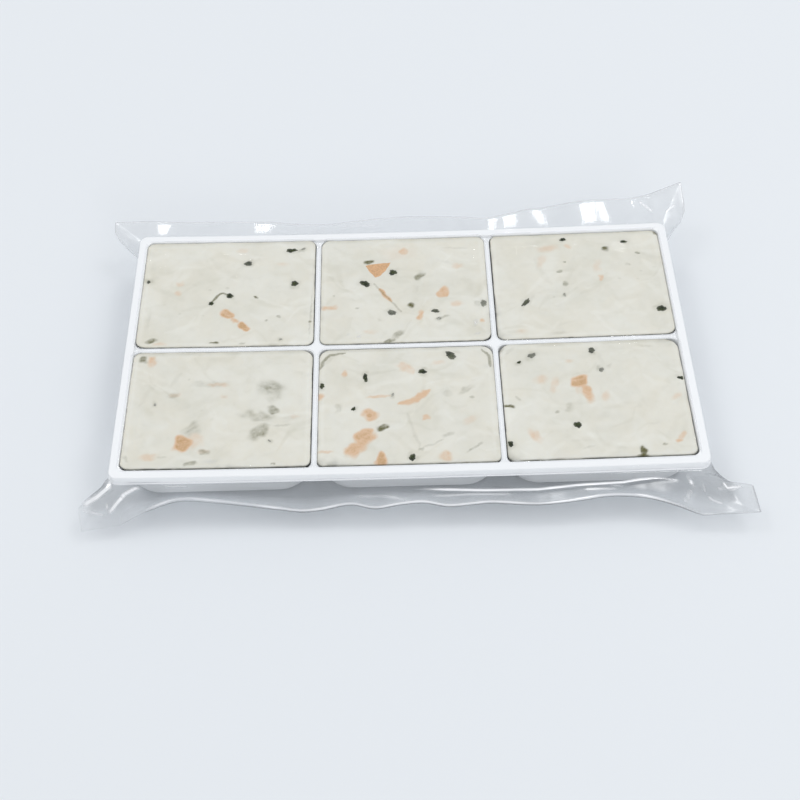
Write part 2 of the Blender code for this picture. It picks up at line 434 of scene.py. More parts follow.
# Tray: a thin moulded sheet with a turned-down lip, a wide rim and lower ribs between the wells
tray = {
    "rimCorner": 3.8 * mm,
    "lipDrop": 3.4 * mm,
    "lipFlare": 0.14 * mm,
    "lipBead": 0.42 * mm,        # how far the lip's foot stands out
    "beadLean": 0.02 * mm,
    "beadHeight": 0.55 * mm,
    "rimRound": 0.35 * mm,
    "mouthRound": 0.30 * mm,
    "stepLean": 0.1 * mm,
    "draft": 1.5 * mm,
    "floorRound": 1.4 * mm,
    "lowCorner": 10.5 * mm,      # how much rounder the wells' corners are at the floor
    "cornerStart": 1.0 * mm,     # how far below the ribs they begin to grow rounder
    "cornerFull": 17.0 * mm,
    "wallSteps": 4,
    "sheet": 0.7 * mm,
    "floorLift": 0.1 * mm,
    "cornerCuts": 8,
    "roundCuts": 4,
    "bowCuts": 11,
    "colour": (0.93, 0.945, 0.96),
    "roughness": 0.36,
}


# The six cells of the web between the ribs' middle lines, back row first, left to right
def webCells():
    halfX, halfY, ribX = pack["halfLength"], pack["halfWidth"], pack["ribX"]
    columns = ((-halfX, -ribX), (-ribX, ribX), (ribX, halfX))
    return [(*column, *row) for row in ((0.0, halfY), (-halfY, 0.0)) for column in columns]


# Centre and half size of each well's mouth, in the same order
def wellSpans():
    halfRib = pack["ribWidth"] / 2
    ribX = pack["ribX"]
    columns = ((-innerX, -ribX - halfRib), (halfRib - ribX, ribX - halfRib), (ribX + halfRib, innerX))
    return [((c[0] + c[1]) / 2, (r[0] + r[1]) / 2, (c[1] - c[0]) / 2, (r[1] - r[0]) / 2)
            for r in ((halfRib, innerY), (-innerY, -halfRib)) for c in columns]


# A flat face with round corners, left in edit mode with its face selected
def roundPlane(centreX, centreY, halfX, halfY, z, corner):
    thing = addShape(bpy.ops.mesh.primitive_plane_add, size=1.0, location=(centreX, centreY, z))
    startEdit(thing)
    bpy.ops.transform.resize(value=(2 * halfX, 2 * halfY, 1.0))
    bpy.ops.mesh.select_all(action="SELECT")
    bpy.ops.mesh.bevel(offset=corner, segments=tray["cornerCuts"], affect="VERTICES")
    bpy.ops.mesh.select_mode(type="FACE")
    bpy.ops.mesh.select_all(action="SELECT")
    return thing


# Insets the selected face again and again; each step is how far in and how far up
def insetSteps(steps):
    for inward, upward in steps:
        bpy.ops.mesh.inset(thickness=inward, depth=upward, use_even_offset=True)


# A quarter round as inset steps: falls away from a flat face, or rises out of a wall
def roundSteps(radius, inwardFirst):
    steps = []
    turns = [pi / 2 * k / tray["roundCuts"] for k in range(tray["roundCuts"] + 1)]
    for a, b in zip(turns, turns[1:]):
        most = radius * (sin(b) - sin(a))
        least = radius * (cos(a) - cos(b))
        steps.append((most, -least) if inwardFirst else (least, most))
    return steps


# The lip, the rim's flat top, the step down to the ribs' level and the flat web there
def makeRim():
    lipFoot = pack["rimTop"] - tray["lipDrop"]
    bead = tray["beadHeight"]
    outer = roundPlane(0, 0, pack["halfLength"], pack["halfWidth"], lipFoot, tray["rimCorner"])
    insetSteps([(tray["beadLean"], bead * 0.25), (tray["lipBead"], bead * 0.75)])
    insetSteps([(tray["lipFlare"], tray["lipDrop"] - tray["rimRound"] - bead)])
    insetSteps(roundSteps(tray["rimRound"], False))
    bpy.ops.mesh.delete(type="FACE")
    endEdit()
    grow = tray["mouthRound"]
    inner = roundPlane(0, 0, innerX + grow, innerY + grow, pack["rimTop"], pack["wellCorner"] + grow)
    insetSteps(roundSteps(grow, True))
    insetSteps([(tray["stepLean"], grow - pack["ribDrop"])])
    endEdit()
    return joinAll([outer, inner], "trayShell")


# How much rounder the wells' corners are at a depth below the ribs' level
def lowRound(depth):
    return tray["lowCorner"] * smoothStep(tray["cornerStart"], tray["cornerFull"], depth)


# Rounds a well's corners more and more towards its floor
def widenCorners(well, halfX):
    points = getPoints(well)
    signs = np.sign(points[:, :2])
    levels = np.round(points[:, 2] / mm, 2)
    for level in np.unique(levels):
        ring = levels == level
        reach = np.abs(points[ring, :2]).max(axis=0)
        radius = pack["wellCorner"] + reach[0] - halfX
        fromCentre = np.maximum(np.abs(points[ring, :2]) - reach + radius, 0)
        turn = np.arctan2(fromCentre[:, 1], fromCentre[:, 0])
        wide = radius + lowRound(-level * mm)
        points[ring, :2] = signs[ring] * (reach - wide + wide * np.stack([np.cos(turn), np.sin(turn)], 1))
    setPoints(well, points)


# One well: a round mouth, a wall that leans in and a rounded floor
def makeWell(centreX, centreY, halfX, halfY):
    grow = tray["mouthRound"] * 0.9
    well = roundPlane(centreX, centreY, halfX + grow, halfY + grow, ribTop, pack["wellCorner"] + grow)
    insetSteps(roundSteps(grow, True))
    floorZ = pack["foot"] + tray["sheet"] + tray["floorLift"]
    drop = ribTop - grow - floorZ - tray["floorRound"]
    count = tray["wallSteps"]
    insetSteps([(tray["draft"] / count, -drop / count)] * count)
    insetSteps([(inward, -upward) for inward, upward in roundSteps(tray["floorRound"], False)])
    endEdit()
    widenCorners(well, halfX)
    return well


# Each cell of the web is filled between its border and its well's mouth
def fillWeb(shell):
    for left, right, front, back in webCells():
        def inCell(edge):
            return allAt(edge, ribTop) and all(
                left - near < vert.co.x < right + near and front - near < vert.co.y < back + near
                for vert in edge.verts)
        pick(shell, "EDGE", lambda edge: len(edge.link_faces) < 2 and inCell(edge))
        bpy.ops.mesh.fill(use_beauty=True)


def makeTray():
    shell = makeRim()
    freeze(shell)
    startEdit(shell, "EDGE")
    pick(shell, "EDGE", lambda edge: edge.is_boundary and allAt(edge, pack["rimTop"]))
    bpy.ops.mesh.bridge_edge_loops()
    cutAt((-pack["ribX"], pack["ribX"]), 0)
    cutAt((0.0,), 1)
    pick(shell, "FACE", lambda face: allAt(face, ribTop))
    bpy.ops.mesh.delete(type="ONLY_FACE")
    endEdit()
    wells = [makeWell(*span) for span in wellSpans()]
    for well in wells:
        freeze(well)
    shell = joinAll([shell, *wells], "trayShell")
    startEdit(shell, "EDGE")
    fillWeb(shell)
    selectAll()
    bpy.ops.mesh.remove_doubles(threshold=near)
    step = pack["halfLength"] / (tray["bowCuts"] + 1)
    cutAt([step * k for k in range(-tray["bowCuts"], tray["bowCuts"] + 1)], 0)
    turnOutward()
    endEdit()
    setPoints(shell, bowUp(getPoints(shell)))
    if sum(face.normal.z * face.area for face in shell.data.polygons) < 0:
        startEdit(shell, "FACE")
        selectAll()
        bpy.ops.mesh.flip_normals()
        endEdit()
    applyModifier(shell, "SOLIDIFY", thickness=tray["sheet"], offset=-1.0)
    settle(shell, 40)
    applyModifier(shell, "WEIGHTED_NORMAL", keep_sharp=True)
    return shell


def whitePlastic():
    material, tree, shader = newMaterial("whitePlastic")
    cloud, height = addMottle(tree, 40.0, 1400.0, 0.5)
    deeper = tuple(channel * 0.975 for channel in tray["colour"])
    rough = tray["roughness"]
    setInputs(shader, {"Base Color": addTint(tree, cloud, deeper, tray["colour"]),
                       "Roughness": addRange(tree, cloud, 0.3, 0.7, rough - 0.05, rough + 0.05)})
    addBump(tree, shader, height, 0.00004, 0.35)
    return material


trayShell = makeTray()
hand(trayShell, whitePlastic(), "tray")
print("tray modelled:", len(trayShell.data.polygons), "faces")


# Cakes: pressed blocks whose tops reach the ribs, some with a blunter corner than their well
cake = {
    "cell": 0.42 * mm,
    "gaps": {  # between cake and wall at the back, right, front and left, in millimetres
        1: (0.12, 0.15, 0.22, 0.12), 2: (0.12, -0.15, 0.28, -0.05), 3: (0.12, 0.12, 0.22, 0.26),
        4: (-0.12, 0.18, 1.08, 0.12), 5: (0.05, -0.15, 0.94, -0.05), 6: (-0.20, 0.18, 0.98, 0.20),
    },
    "pressed": {  # how far the edge is raised along the rim on the same sides, in millimetres
        1: (0.85, 0, 0, 0.75), 2: (0.75, 0, 0, 0), 3: (0.60, 0.50, 0, 0),
        4: (0, 0, 0, 0.70), 5: (0, 0, 0, 0), 6: (0, 0.10, 0, 0),
    },
    "edgeRound": 0.55 * mm,
    "taper": 2.6 * mm,
    "swell": 0.25 * mm,
    "rise": 0.15 * mm,
    "waves": (0.10 * mm, 9 * mm),            # height and length of the top's slow waves
    "fineWaves": (0.03 * mm, 2.2 * mm),
    "wobble": (0.10 * mm, 5 * mm),           # the same for the outline's
    "fineWobble": (0.07 * mm, 1.6 * mm),
    "wobbleReach": 4 * mm,
    "corners": {  # back left, back right, front right, front left, in millimetres
        1: (3.0, 3.0, 3.6, 3.2), 2: (4.2, 3.8, 4.4, 3.0), 3: (3.0, 3.2, 3.6, 3.2),
        4: (4.4, 4.8, 2.9, 3.0), 5: (5.0, 5.4, 2.8, 3.0), 6: (5.4, 5.8, 3.3, 3.0),
    },
    "outline": {  # how dark the painted shade of the gap is along the back, right, front and left
        1: (0.15, 0.95, 1.0, 0.20), 2: (0.20, 0.50, 1.0, 0.60), 3: (0.20, 0.25, 1.0, 1.00),
        4: (0.25, 0.95, 1.0, 0.30), 5: (0.75, 0.45, 0.8, 0.65), 6: (0.30, 0.45, 0.9, 0.95),
    },
    "colour": (0.765, 0.755, 0.680),
    "pale": (0.835, 0.830, 0.765),
    "warm": (0.760, 0.735, 0.640),
    "cool": (0.640, 0.625, 0.530),
    # colour of the gap's painted shade on the cake's rounded edge, with some stain in it
    "edge": (0.040, 0.043, 0.026),
    "green": (0.120, 0.115, 0.038),
    "peach": (0.725, 0.510, 0.340),
    "carrot": (0.560, 0.355, 0.180),
    "roughness": 0.45,
    "gloss": 0.2,                # low, because the film lies close on it
    "gapShadeLevels": (0.12 * mm, 0.36 * mm),     # the gap's painted shade begins and is full so far below the top
    "highlightBand": (1.9 * mm, 0.7 * mm, 0.16),  # a painted highlight band inside the gap's shade: its distance from the wall, half width and strength
    "backOlive": (2.8 * mm, 0.8 * mm, 0.22),  # olive tint, darker towards the back wall: where it begins, is full, and its strength
    "rimReach": (5 * mm, 0.3 * mm),          # where the raised edge begins and is full
    "sideSteps": 3,
}

# Stains in each cake's top, from leaf and carrot sunk in the dough. Each row is the place in the
# photograph's pixels, length and width in millimetres, angle in degrees, softness and strength.
stains = {
    (1, "green"): [
        (302, 250, 4.5, 1.6, 8, 0.8, 0.55), (256.2, 297.2, 2.8, 1.1, -35, 0.5, 0.85),
        (278.5, 316, 1.8, 1.2, -20, 0.6, 0.65), (266.2, 320.2, 1.4, 1, 0, 0.7, 0.6),
        (180, 314.4, 1.2, 0.9, 0, 0.7, 0.35), (203, 316, 1.4, 0.8, 0, 0.8, 0.3),
        (210, 290.5, 1.4, 0.9, 0, 0.8, 0.35), (227.6, 288.3, 1.6, 1, 0, 0.7, 0.4),
        (235.5, 275.5, 11, 3, 57, 1, 0.2), (151.7, 342, 4.6, 2, 15, 0.8, 0.78),
        (214, 343, 4, 1, 0, 0.5, 0.85), (242, 343, 3, 0.9, 0, 0.5, 0.55),
        (148.5, 322, 12, 1.8, 88, 1, 0.22), (159.5, 246, 3, 1.6, 0, 1, 0.2),
        (310.5, 314, 25, 0.8, 88, 0.7, 0.4), (310, 321, 1.6, 1.2, 0, 0.6, 0.7),
        (258, 305, 17, 12, 20, 1, 0.09), (190, 265, 9, 5, 30, 1, 0.06),
    ],
    (1, "orange"): [
        (227.3, 314.4, 5.4, 3.6, -35, 0.45, 0.85), (243.4, 326.9, 5.2, 3.2, -35, 0.4, 0.9),
        (235, 320.5, 4, 2, -40, 0.6, 0.5), (180, 285, 3, 2.4, 0, 1, 0.3),
        (178.7, 294, 2.6, 2.2, 0, 1, 0.28), (242.6, 251.3, 4, 2, 0, 1, 0.16),
        (283, 264, 4, 2.4, 0, 1, 0.12), (160, 345, 4.5, 1.6, 0, 1, 0.22),
    ],
    (2, "green"): [
        (369, 262.5, 4.4, 2.4, 15, 0.6, 0.85), (411.5, 305.4, 3.4, 2.6, -25, 0.6, 0.98),
        (419, 275.9, 4.4, 4, 60, 0.7, 0.82), (444, 317, 4.6, 1.4, 15, 0.6, 0.55),
        (334, 296, 1.2, 1, 0, 0.6, 0.5), (357, 308.5, 1.6, 0.8, 0, 0.6, 0.8),
        (398, 334, 5.4, 3, 35, 0.6, 0.58), (390, 340.5, 5, 1.8, 15, 0.6, 0.8),
        (455, 248, 12, 1, -4, 0.6, 0.3), (330, 278, 6, 2.4, 10, 1, 0.18),
        (445, 262, 9, 1.8, -25, 0.9, 0.22), (416, 289, 5, 2.6, 80, 0.9, 0.25),
        (380, 320, 3, 1.5, -40, 0.9, 0.25), (449, 325, 8, 2.4, 20, 1, 0.2), (478, 303, 4.4, 3, 0, 0.8, 0.4),
        (352, 300, 3, 1.2, -20, 0.9, 0.2), (425, 296, 15, 12, 30, 1, 0.14), (455, 280, 10, 7, -30, 1, 0.12),
        (470, 330, 8, 4, 40, 1, 0.12),
    ],
    (2, "orange"): [
        (404.4, 252, 4.6, 3.6, 60, 0.7, 0.5), (397, 253, 12, 7, 10, 1, 0.1),
        (457.9, 266, 4, 2.4, 0, 1, 0.25), (443, 292, 5.4, 4.6, 70, 0.5, 0.62),
        (456.7, 303.4, 4.6, 2.6, 0, 0.9, 0.32), (420.7, 315.5, 5, 2.6, 85, 0.5, 0.6),
        (328.5, 308, 6.2, 2.4, 4, 0.8, 0.42), (482.6, 320.3, 2.2, 1.4, 0, 0.7, 0.45),
        (370, 332, 5, 2, 0, 1, 0.15),
    ],
    (3, "green"): [
        (605.6, 248.7, 3.5, 3.2, -20, 0.6, 0.78), (656, 234.5, 3.8, 2.2, -40, 0.7, 0.78),
        (636.9, 253.7, 2.5, 1.2, -25, 0.6, 0.7), (627.5, 265, 2.5, 1.2, -15, 0.6, 0.4),
        (640.6, 271.5, 1.3, 1, 0, 0.8, 0.35), (638, 279.6, 1.3, 0.9, 0, 0.8, 0.3),
        (619.4, 279, 1.2, 0.9, 0, 0.8, 0.3), (654, 268, 2, 1, 0, 0.9, 0.3),
        (559.6, 271.3, 2.8, 1.5, 0, 0.6, 0.65), (564.4, 262, 1.2, 1, 0, 0.6, 0.65),
        (565.6, 284, 2.4, 2, 80, 0.7, 0.68), (553.5, 297, 1.2, 0.9, 0, 0.7, 0.4),
        (530, 298, 6, 3.4, 52, 1, 0.25), (515.6, 249, 3, 1.8, 10, 1, 0.15),
        (510, 264.6, 3, 1.8, 60, 1, 0.15), (602, 301, 4, 2, 0, 1, 0.15), (572, 292, 19, 9, 0, 1, 0.1),
        (558, 332.5, 8, 1.8, 2, 0.9, 0.3), (515, 331, 6, 1.6, 0, 0.9, 0.25),
        (545, 249, 7, 3.4, 10, 1, 0.15), (620, 318, 12, 4, 5, 1, 0.07),
    ],
    (3, "orange"): [
        (601, 277.8, 2.8, 1.8, 80, 0.6, 0.45), (567.5, 246.5, 3, 1.8, -40, 0.8, 0.3),
        (547.5, 248, 8, 3.4, 10, 1, 0.25), (597, 266, 6, 3, 80, 1, 0.14), (541, 262, 7, 3, 70, 1, 0.16),
        (522, 331, 4, 2, 0, 1, 0.14),
    ],
    (4, "green"): [
        (143.5, 361.3, 3.8, 3, 20, 0.7, 0.72), (210, 384.4, 15, 3, 0, 0.8, 0.34),
        (189.4, 380, 1.1, 0.8, 0, 0.6, 0.4), (174.4, 396, 4.6, 2.6, 15, 0.7, 0.42),
        (202, 411, 1.8, 1.1, 0, 0.9, 0.25), (212, 420, 1.8, 1.1, 40, 0.9, 0.25),
        (224.4, 397, 1.8, 1.1, 0, 0.9, 0.22), (273, 389, 10.5, 6.4, -28, 1, 0.62),
        (265, 386.5, 4.6, 2.6, -30, 0.9, 0.62), (273, 398, 5, 4.4, -60, 0.9, 0.28),
        (272.8, 409.6, 4.2, 3.8, 0, 0.6, 0.72), (258, 416, 13.5, 4.4, -4, 0.9, 0.5),
        (282.5, 424.6, 7, 1.2, 5, 0.7, 0.35), (264, 426.5, 5, 2.4, 12, 0.8, 0.5),
        (258, 431.5, 9.6, 4.8, 40, 0.8, 0.62), (192.5, 430, 7.6, 5, 35, 1, 0.52),
        (204, 452, 4.2, 2.4, -20, 0.6, 0.62), (267, 453, 5, 2, 10, 1, 0.18),
        (273, 463, 1.8, 1, 0, 0.6, 0.75), (190, 464, 5, 1.7, 10, 0.5, 0.6),
        (162, 458, 4, 0.9, 0, 0.7, 0.35), (292, 417, 8, 2.4, 15, 1, 0.25), (298, 372, 5, 2, -20, 1, 0.16),
        (301, 400, 5, 2, 80, 1, 0.14), (255, 422, 14, 9, 10, 1, 0.12), (303, 360, 3, 1.6, -45, 0.8, 0.2),
        (126, 460, 3, 1.6, -50, 0.8, 0.5),
    ],
    (4, "orange"): [
        (152.5, 362.3, 5, 3, 85, 0.8, 0.5), (218, 385, 7, 1.8, 0, 0.8, 0.28),
        (183, 444.4, 6.8, 6.2, -20, 0.45, 0.95), (193, 441, 7, 5, 0, 1, 0.24),
        (148, 458, 6, 2.6, 5, 0.8, 0.28), (294, 416, 3.4, 1.4, 0, 0.8, 0.14),
        (175, 396, 4, 1.6, 10, 0.9, 0.2), (203, 452, 4, 2, 0, 1, 0.18), (224, 397, 2.6, 1.4, 0, 1, 0.2),
    ],
    (5, "green"): [
        (383, 428, 4.8, 2.4, 15, 0.6, 0.9), (338.4, 408, 4.4, 2.4, 85, 0.8, 0.4),
        (447, 392.7, 4, 3.5, -50, 0.8, 0.36), (466, 389.4, 7.5, 2.6, 40, 0.7, 0.42),
        (471.7, 397, 1.8, 1.2, 10, 0.5, 0.42), (474, 448, 7, 1.1, 35, 0.6, 0.5),
        (480.5, 443.4, 1.8, 1.2, 30, 0.5, 0.4), (449, 434.7, 5, 1.7, 18, 0.7, 0.4),
        (421, 449.4, 2.2, 1.6, 0, 0.7, 0.65), (329, 360, 9, 3, 45, 1, 0.3),
        (455, 352, 5, 1.6, -10, 1, 0.25), (320, 463, 4, 2, -45, 0.6, 0.25), (376, 373, 4, 1.4, 0, 0.9, 0.2),
        (475, 380, 4, 1.5, 20, 1, 0.16), (393, 455, 5, 2, 20, 1, 0.14), (410, 430, 14, 8, 40, 1, 0.09),
        (350, 392, 9, 5, 20, 1, 0.08),
    ],
    (5, "orange"): [
        (344.2, 374, 3.4, 2.5, 80, 0.7, 0.5), (320, 397, 3.4, 2.6, 0, 0.8, 0.5),
        (369.5, 415, 5.2, 4.7, 20, 0.6, 0.8), (369.5, 415.5, 2.6, 2.2, 20, 0.6, 0.95),
        (360, 443, 12.5, 6.4, 42, 0.55, 0.72), (365, 437, 6.6, 5.4, 20, 0.5, 0.72),
        (354, 448.5, 6.4, 5.6, 30, 0.5, 0.72), (381, 460.5, 6.4, 3.6, 90, 0.5, 0.95),
        (382, 463, 3, 4.6, 90, 0.5, 0.6), (380, 396.5, 9, 1.2, 3, 0.7, 0.4),
        (405, 367, 6.6, 3.4, -20, 0.8, 0.3), (410, 370, 3, 4, 60, 0.8, 0.25),
        (438.6, 362.5, 5, 2, 10, 1, 0.2), (470.5, 420, 5, 2.4, 30, 1, 0.18),
        (426, 418, 2.4, 2.4, 0, 0.6, 0.5), (446.7, 456, 5.2, 3.6, -10, 0.7, 0.42),
        (325, 452, 5.6, 1.2, 3, 0.7, 0.35),
    ],
    (6, "green"): [
        (508.8, 405.6, 4.8, 1.6, -15, 0.5, 0.95), (518.3, 398, 2.9, 1.1, -45, 0.5, 0.45),
        (557.3, 411.9, 1.7, 1.4, 60, 0.6, 0.62), (643.5, 452, 5.2, 2.6, 80, 0.6, 0.85),
        (643, 457, 5.6, 2, 0, 0.6, 0.8), (665.3, 444.6, 2.2, 1.1, 10, 0.5, 0.62),
        (589.5, 446.7, 5, 1, 15, 0.6, 0.36), (570, 407, 4.4, 3.4, 80, 0.8, 0.42),
        (609, 366, 3, 1.6, 40, 0.9, 0.3), (604, 415, 7.6, 2.8, 40, 1, 0.18), (580, 440, 9, 1.3, 3, 1, 0.2),
        (654, 424, 4.6, 1.4, 0, 0.9, 0.25), (601, 360, 7, 2, -75, 1, 0.2), (517, 372, 5, 4, 60, 1, 0.16),
        (644, 346, 7, 1.4, -10, 0.8, 0.3), (510, 350, 6, 1.6, 40, 0.6, 0.3),
        (640, 395, 12, 1.6, -70, 1, 0.16), (500, 362, 5, 1.4, 70, 0.7, 0.28), (540, 370, 5, 4, 0, 1, 0.13),
        (675, 405, 6, 1.6, 45, 1, 0.15), (583, 357, 6, 2, 0, 1, 0.15), (575, 395, 16, 10, 40, 1, 0.11),
        (500, 350, 6, 1.4, 50, 0.6, 0.6),
    ],
    (6, "orange"): [
        (580, 382, 6.2, 5.8, 10, 0.5, 0.92), (587, 393, 8, 4.4, -65, 0.6, 0.6),
        (554, 385, 6.4, 2.6, 70, 0.9, 0.22), (540, 379, 4, 4, 0, 1, 0.25),
        (606.6, 396, 4.4, 3.2, 80, 0.9, 0.22), (535.7, 435.8, 6, 3, -50, 0.8, 0.34),
        (682, 437, 5, 2, 55, 0.7, 0.36), (679, 441, 2.6, 1.4, 0, 0.7, 0.55), (569, 361, 3, 1.6, 0, 1, 0.2),
        (676, 397, 4, 2, 30, 1, 0.2),
    ],
}

# Thin strands in the same way: kind, width in millimetres, softness, strength and the pixels it runs through
strands = {
    1: [("green", 1.1, 0.5, 0.85, ((229, 295), (222, 293.3), (217, 297), (211.7, 302.7)))],
    2: [("green", 0.8, 0.6, 0.55, ((373.5, 283.7), (388, 298.5), (401.6, 312.4))),
        ("orange", 1.5, 0.7, 0.8, ((379, 289), (391, 301)))],
    3: [("green", 2.5, 1.0, 0.2, ((535, 259), (540, 269), (545, 278), (551, 284)))],
    4: [("green", 2.2, 1.0, 0.2, ((140.6, 406), (147, 395), (156, 386))),
        ("green", 2.2, 1.0, 0.24, ((172.5, 386), (180.6, 373)))],
    5: [("green", 1.0, 0.8, 0.36, ((424, 447), (434, 444), (443, 439))),
        ("green", 1.6, 0.9, 0.3, ((407, 414), (413, 430), (420.5, 447))),
        ("orange", 3.0, 0.7, 0.6, ((399, 404), (412, 401.5), (421, 396.5), (428, 391))),
        ("green", 1.4, 0.6, 0.75, ((321, 370), (323.5, 361.5), (330, 355.8), (345, 353))),
        ("green", 1.3, 0.6, 0.7, ((482, 349.5), (489, 356), (490.5, 367)))],
    6: [("green", 1.0, 0.6, 0.6, ((664, 339.5), (675, 341.5), (682, 347)))],
}

shreds = {"count": 46, "length": (7.0, 20.0), "width": (1.4, 3.6), "strength": (0.05, 0.18)}


# How strongly one stain colours each point, from 0 to 1
def blotchMask(x, y, level, row, seed):
    px, py, length, width, angle, softness, strength = row
    spot = spotAt(px, py, level)
    size = min(length, width) * mm
    wander = 0.24 * size
    cell = 0.45 * size + 0.6 * mm
    dx = x - spot.x + wander * softNoise(x, y, cell, seed)
    dy = y - spot.y + wander * softNoise(x, y, cell, seed + 1)
    a = radians(angle)
    along = np.abs(dx * cos(a) + dy * sin(a)) / (length * mm / 2)
    across = np.abs(-dx * sin(a) + dy * cos(a)) / (width * mm / 2)
    away = (along ** 2.4 + across ** 2.4) ** (1 / 2.4)
    lengthwise = x * cos(a) + y * sin(a)
    crosswise = 2.4 * (y * cos(a) - x * sin(a))
    grain = 1 + 0.14 * softNoise(x, y, 0.8 * mm, seed + 2)
    grain = grain + 0.22 * softNoise(lengthwise, crosswise, 2.4 * mm, seed + 3)
    return strength * grain * softInside(away, softness)


# The same for a strand through some pixels; it thins towards both ends
def strandMask(x, y, level, width, softness, strength, pixels, seed):
    spots = [tuple(spotAt(px, py, level))[:2] for px, py in pixels]
    wander = 0.25 * width * mm
    away, along = lineDistance(x + wander * softNoise(x, y, 1.8 * mm, seed),
                               y + wander * softNoise(x, y, 1.8 * mm, seed + 1), spots)
    half = width * mm / 2 * (1 - 0.55 * (2 * along - 1) ** 4)
    return strength * softInside(away / half, softness)


# Clouds and curved streaks of shredded radish: 0.5 is plain, less is duller, more is paler
def doughTone(x, y, low, high, number):
    rng = np.random.default_rng(40 + number)
    wanderX = x + 3.0 * mm * softNoise(x, y, 9 * mm, 70 + number)
    wanderY = y + 3.0 * mm * softNoise(x, y, 9 * mm, 80 + number)
    tone = 0.5 + 0.14 * softNoise(wanderX, wanderY, 11 * mm, 50 + number)
    tone += 0.09 * softNoise(wanderX, wanderY * 1.6, 4.5 * mm, 60 + number)
    tone += 0.05 * softNoise(x, y, 1.5 * mm, 65 + number)
    for k in range(shreds["count"]):
        midX = rng.uniform(low[0], high[0])
        midY = rng.uniform(low[1], high[1])
        a = rng.uniform(-1.0, 1.0)
        half = rng.uniform(*shreds["length"]) * mm / 2
        bend = rng.uniform(-0.5, 0.5) * half
        width = rng.uniform(*shreds["width"]) * mm
        depth = rng.uniform(*shreds["strength"]) * (1 if rng.random() < 0.5 else -1)
        spots = [(midX - half * cos(a) - bend * sin(a), midY - half * sin(a) + bend * cos(a)), (midX, midY),
                 (midX + half * cos(a) - bend * sin(a), midY + half * sin(a) + bend * cos(a))]
        away, along = lineDistance(wanderX, wanderY, spots)
        thin = width / 2 * (1 - 0.5 * (2 * along - 1) ** 2)
        tone += depth * (1 - smoothStep(0.3, 1.4, away / thin))
    return tone


# Distances from points to a well's back, right, front and left
def sideDistances(x, y, span):
    centreX, centreY, halfX, halfY = span
    return halfY - (y - centreY), halfX - (x - centreX), halfY + (y - centreY), halfX + (x - centreX)


# How dark the gap's painted shade beside each point is: each side has its own strength, with soft changes
# between
def gapShadeShare(x, y, span, number):
    weights = [np.exp(-np.maximum(side, 0) / (1.6 * mm)) for side in sideDistances(x, y, span)]
    share = sum(weight * dark for weight, dark in zip(weights, cake["outline"][number])) / sum(weights)
    patch = 1 + mixedNoise(x, y, (0.30, 6 * mm, 300 + number), (0.20, 1.5 * mm, 310 + number))
    return np.clip(share * patch, 0.1, 1.0)


# How far a cake's edge is pressed up beside the rim
def pressedRise(x, y, span, number):
    rise = np.zeros_like(x)
    for side, height in zip(sideDistances(x, y, span), cake["pressed"][number]):
        rise = np.maximum(rise, height * mm * smoothStep(*cake["rimReach"], side))
    return rise


def paintCake(block, number, span, level):
    points = getPoints(block)
    x, y = points[:, 0].copy(), points[:, 1].copy()
    low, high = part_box("cake_%d" % number)
    spotZ = level + float(bowLift(span[0], level))
    masks = {"green": [], "orange": []}
    for channel, (kind, found) in enumerate(masks.items()):
        for k, row in enumerate(stains[number, kind]):
            found.append(blotchMask(x, y, spotZ, row, 200 * number + 5 * k + 100 * channel))
        for k, (tint, width, softness, strength, pixels) in enumerate(strands[number]):
            if tint == kind:
                found.append(strandMask(x, y, spotZ, width, softness, strength, pixels, 400 * number + 3 * k))
    for k, (owner, px, py, length, width, angle) in enumerate(flecks["rows"]):
        if owner == number:
            halo = (px, py, length + flecks["halo"], width + flecks["halo"], angle, 1.0, 0.42)
            masks["green"].append(blotchMask(x, y, spotZ, halo, 600 + 3 * k))
    green = np.clip(np.max(masks["green"], axis=0), 0, 1) ** 1.8
    tone = doughTone(x, y, low, high, number)
    # painted shade where the gap falls dark, on the cake's rounded edge
    begins, full = cake["gapShadeLevels"]
    height = points[:, 2] - pressedRise(x, y, span, number)
    gap = smoothStep(level - begins, level - full, height) * gapShadeShare(x, y, span, number)
    # painted highlight: a pale band just inside the cake's edge
    place, half, strength = cake["highlightBand"]
    inward = np.minimum(span[2] - np.abs(x - span[0]), span[3] - np.abs(y - span[1]))
    tone += strength * np.exp(-((inward - place) / half) ** 2)
    # olive tint that grows towards the back wall
    far, close, strength = cake["backOlive"]
    olive = smoothStep(far, close, span[3] - (y - span[1]))
    olive = olive * (0.5 + 0.5 * softNoise(x, y, 8 * mm, 320 + number))
    green = np.maximum(green, strength * olive)
    setColours(block, "stainsAndPaintedLight", np.stack([green, np.max(masks["orange"], axis=0), tone, gap], 1))


# The waves and the dome of a cake's top, without its round edge
def topWaves(x, y, shareX, shareY, number):
    dome = (1 - shareX ** 4) * (1 - shareY ** 4)
    height, length = cake["waves"]
    return cake["swell"] * (dome - 0.5) + height * softNoise(x, y, length, 3 * number)


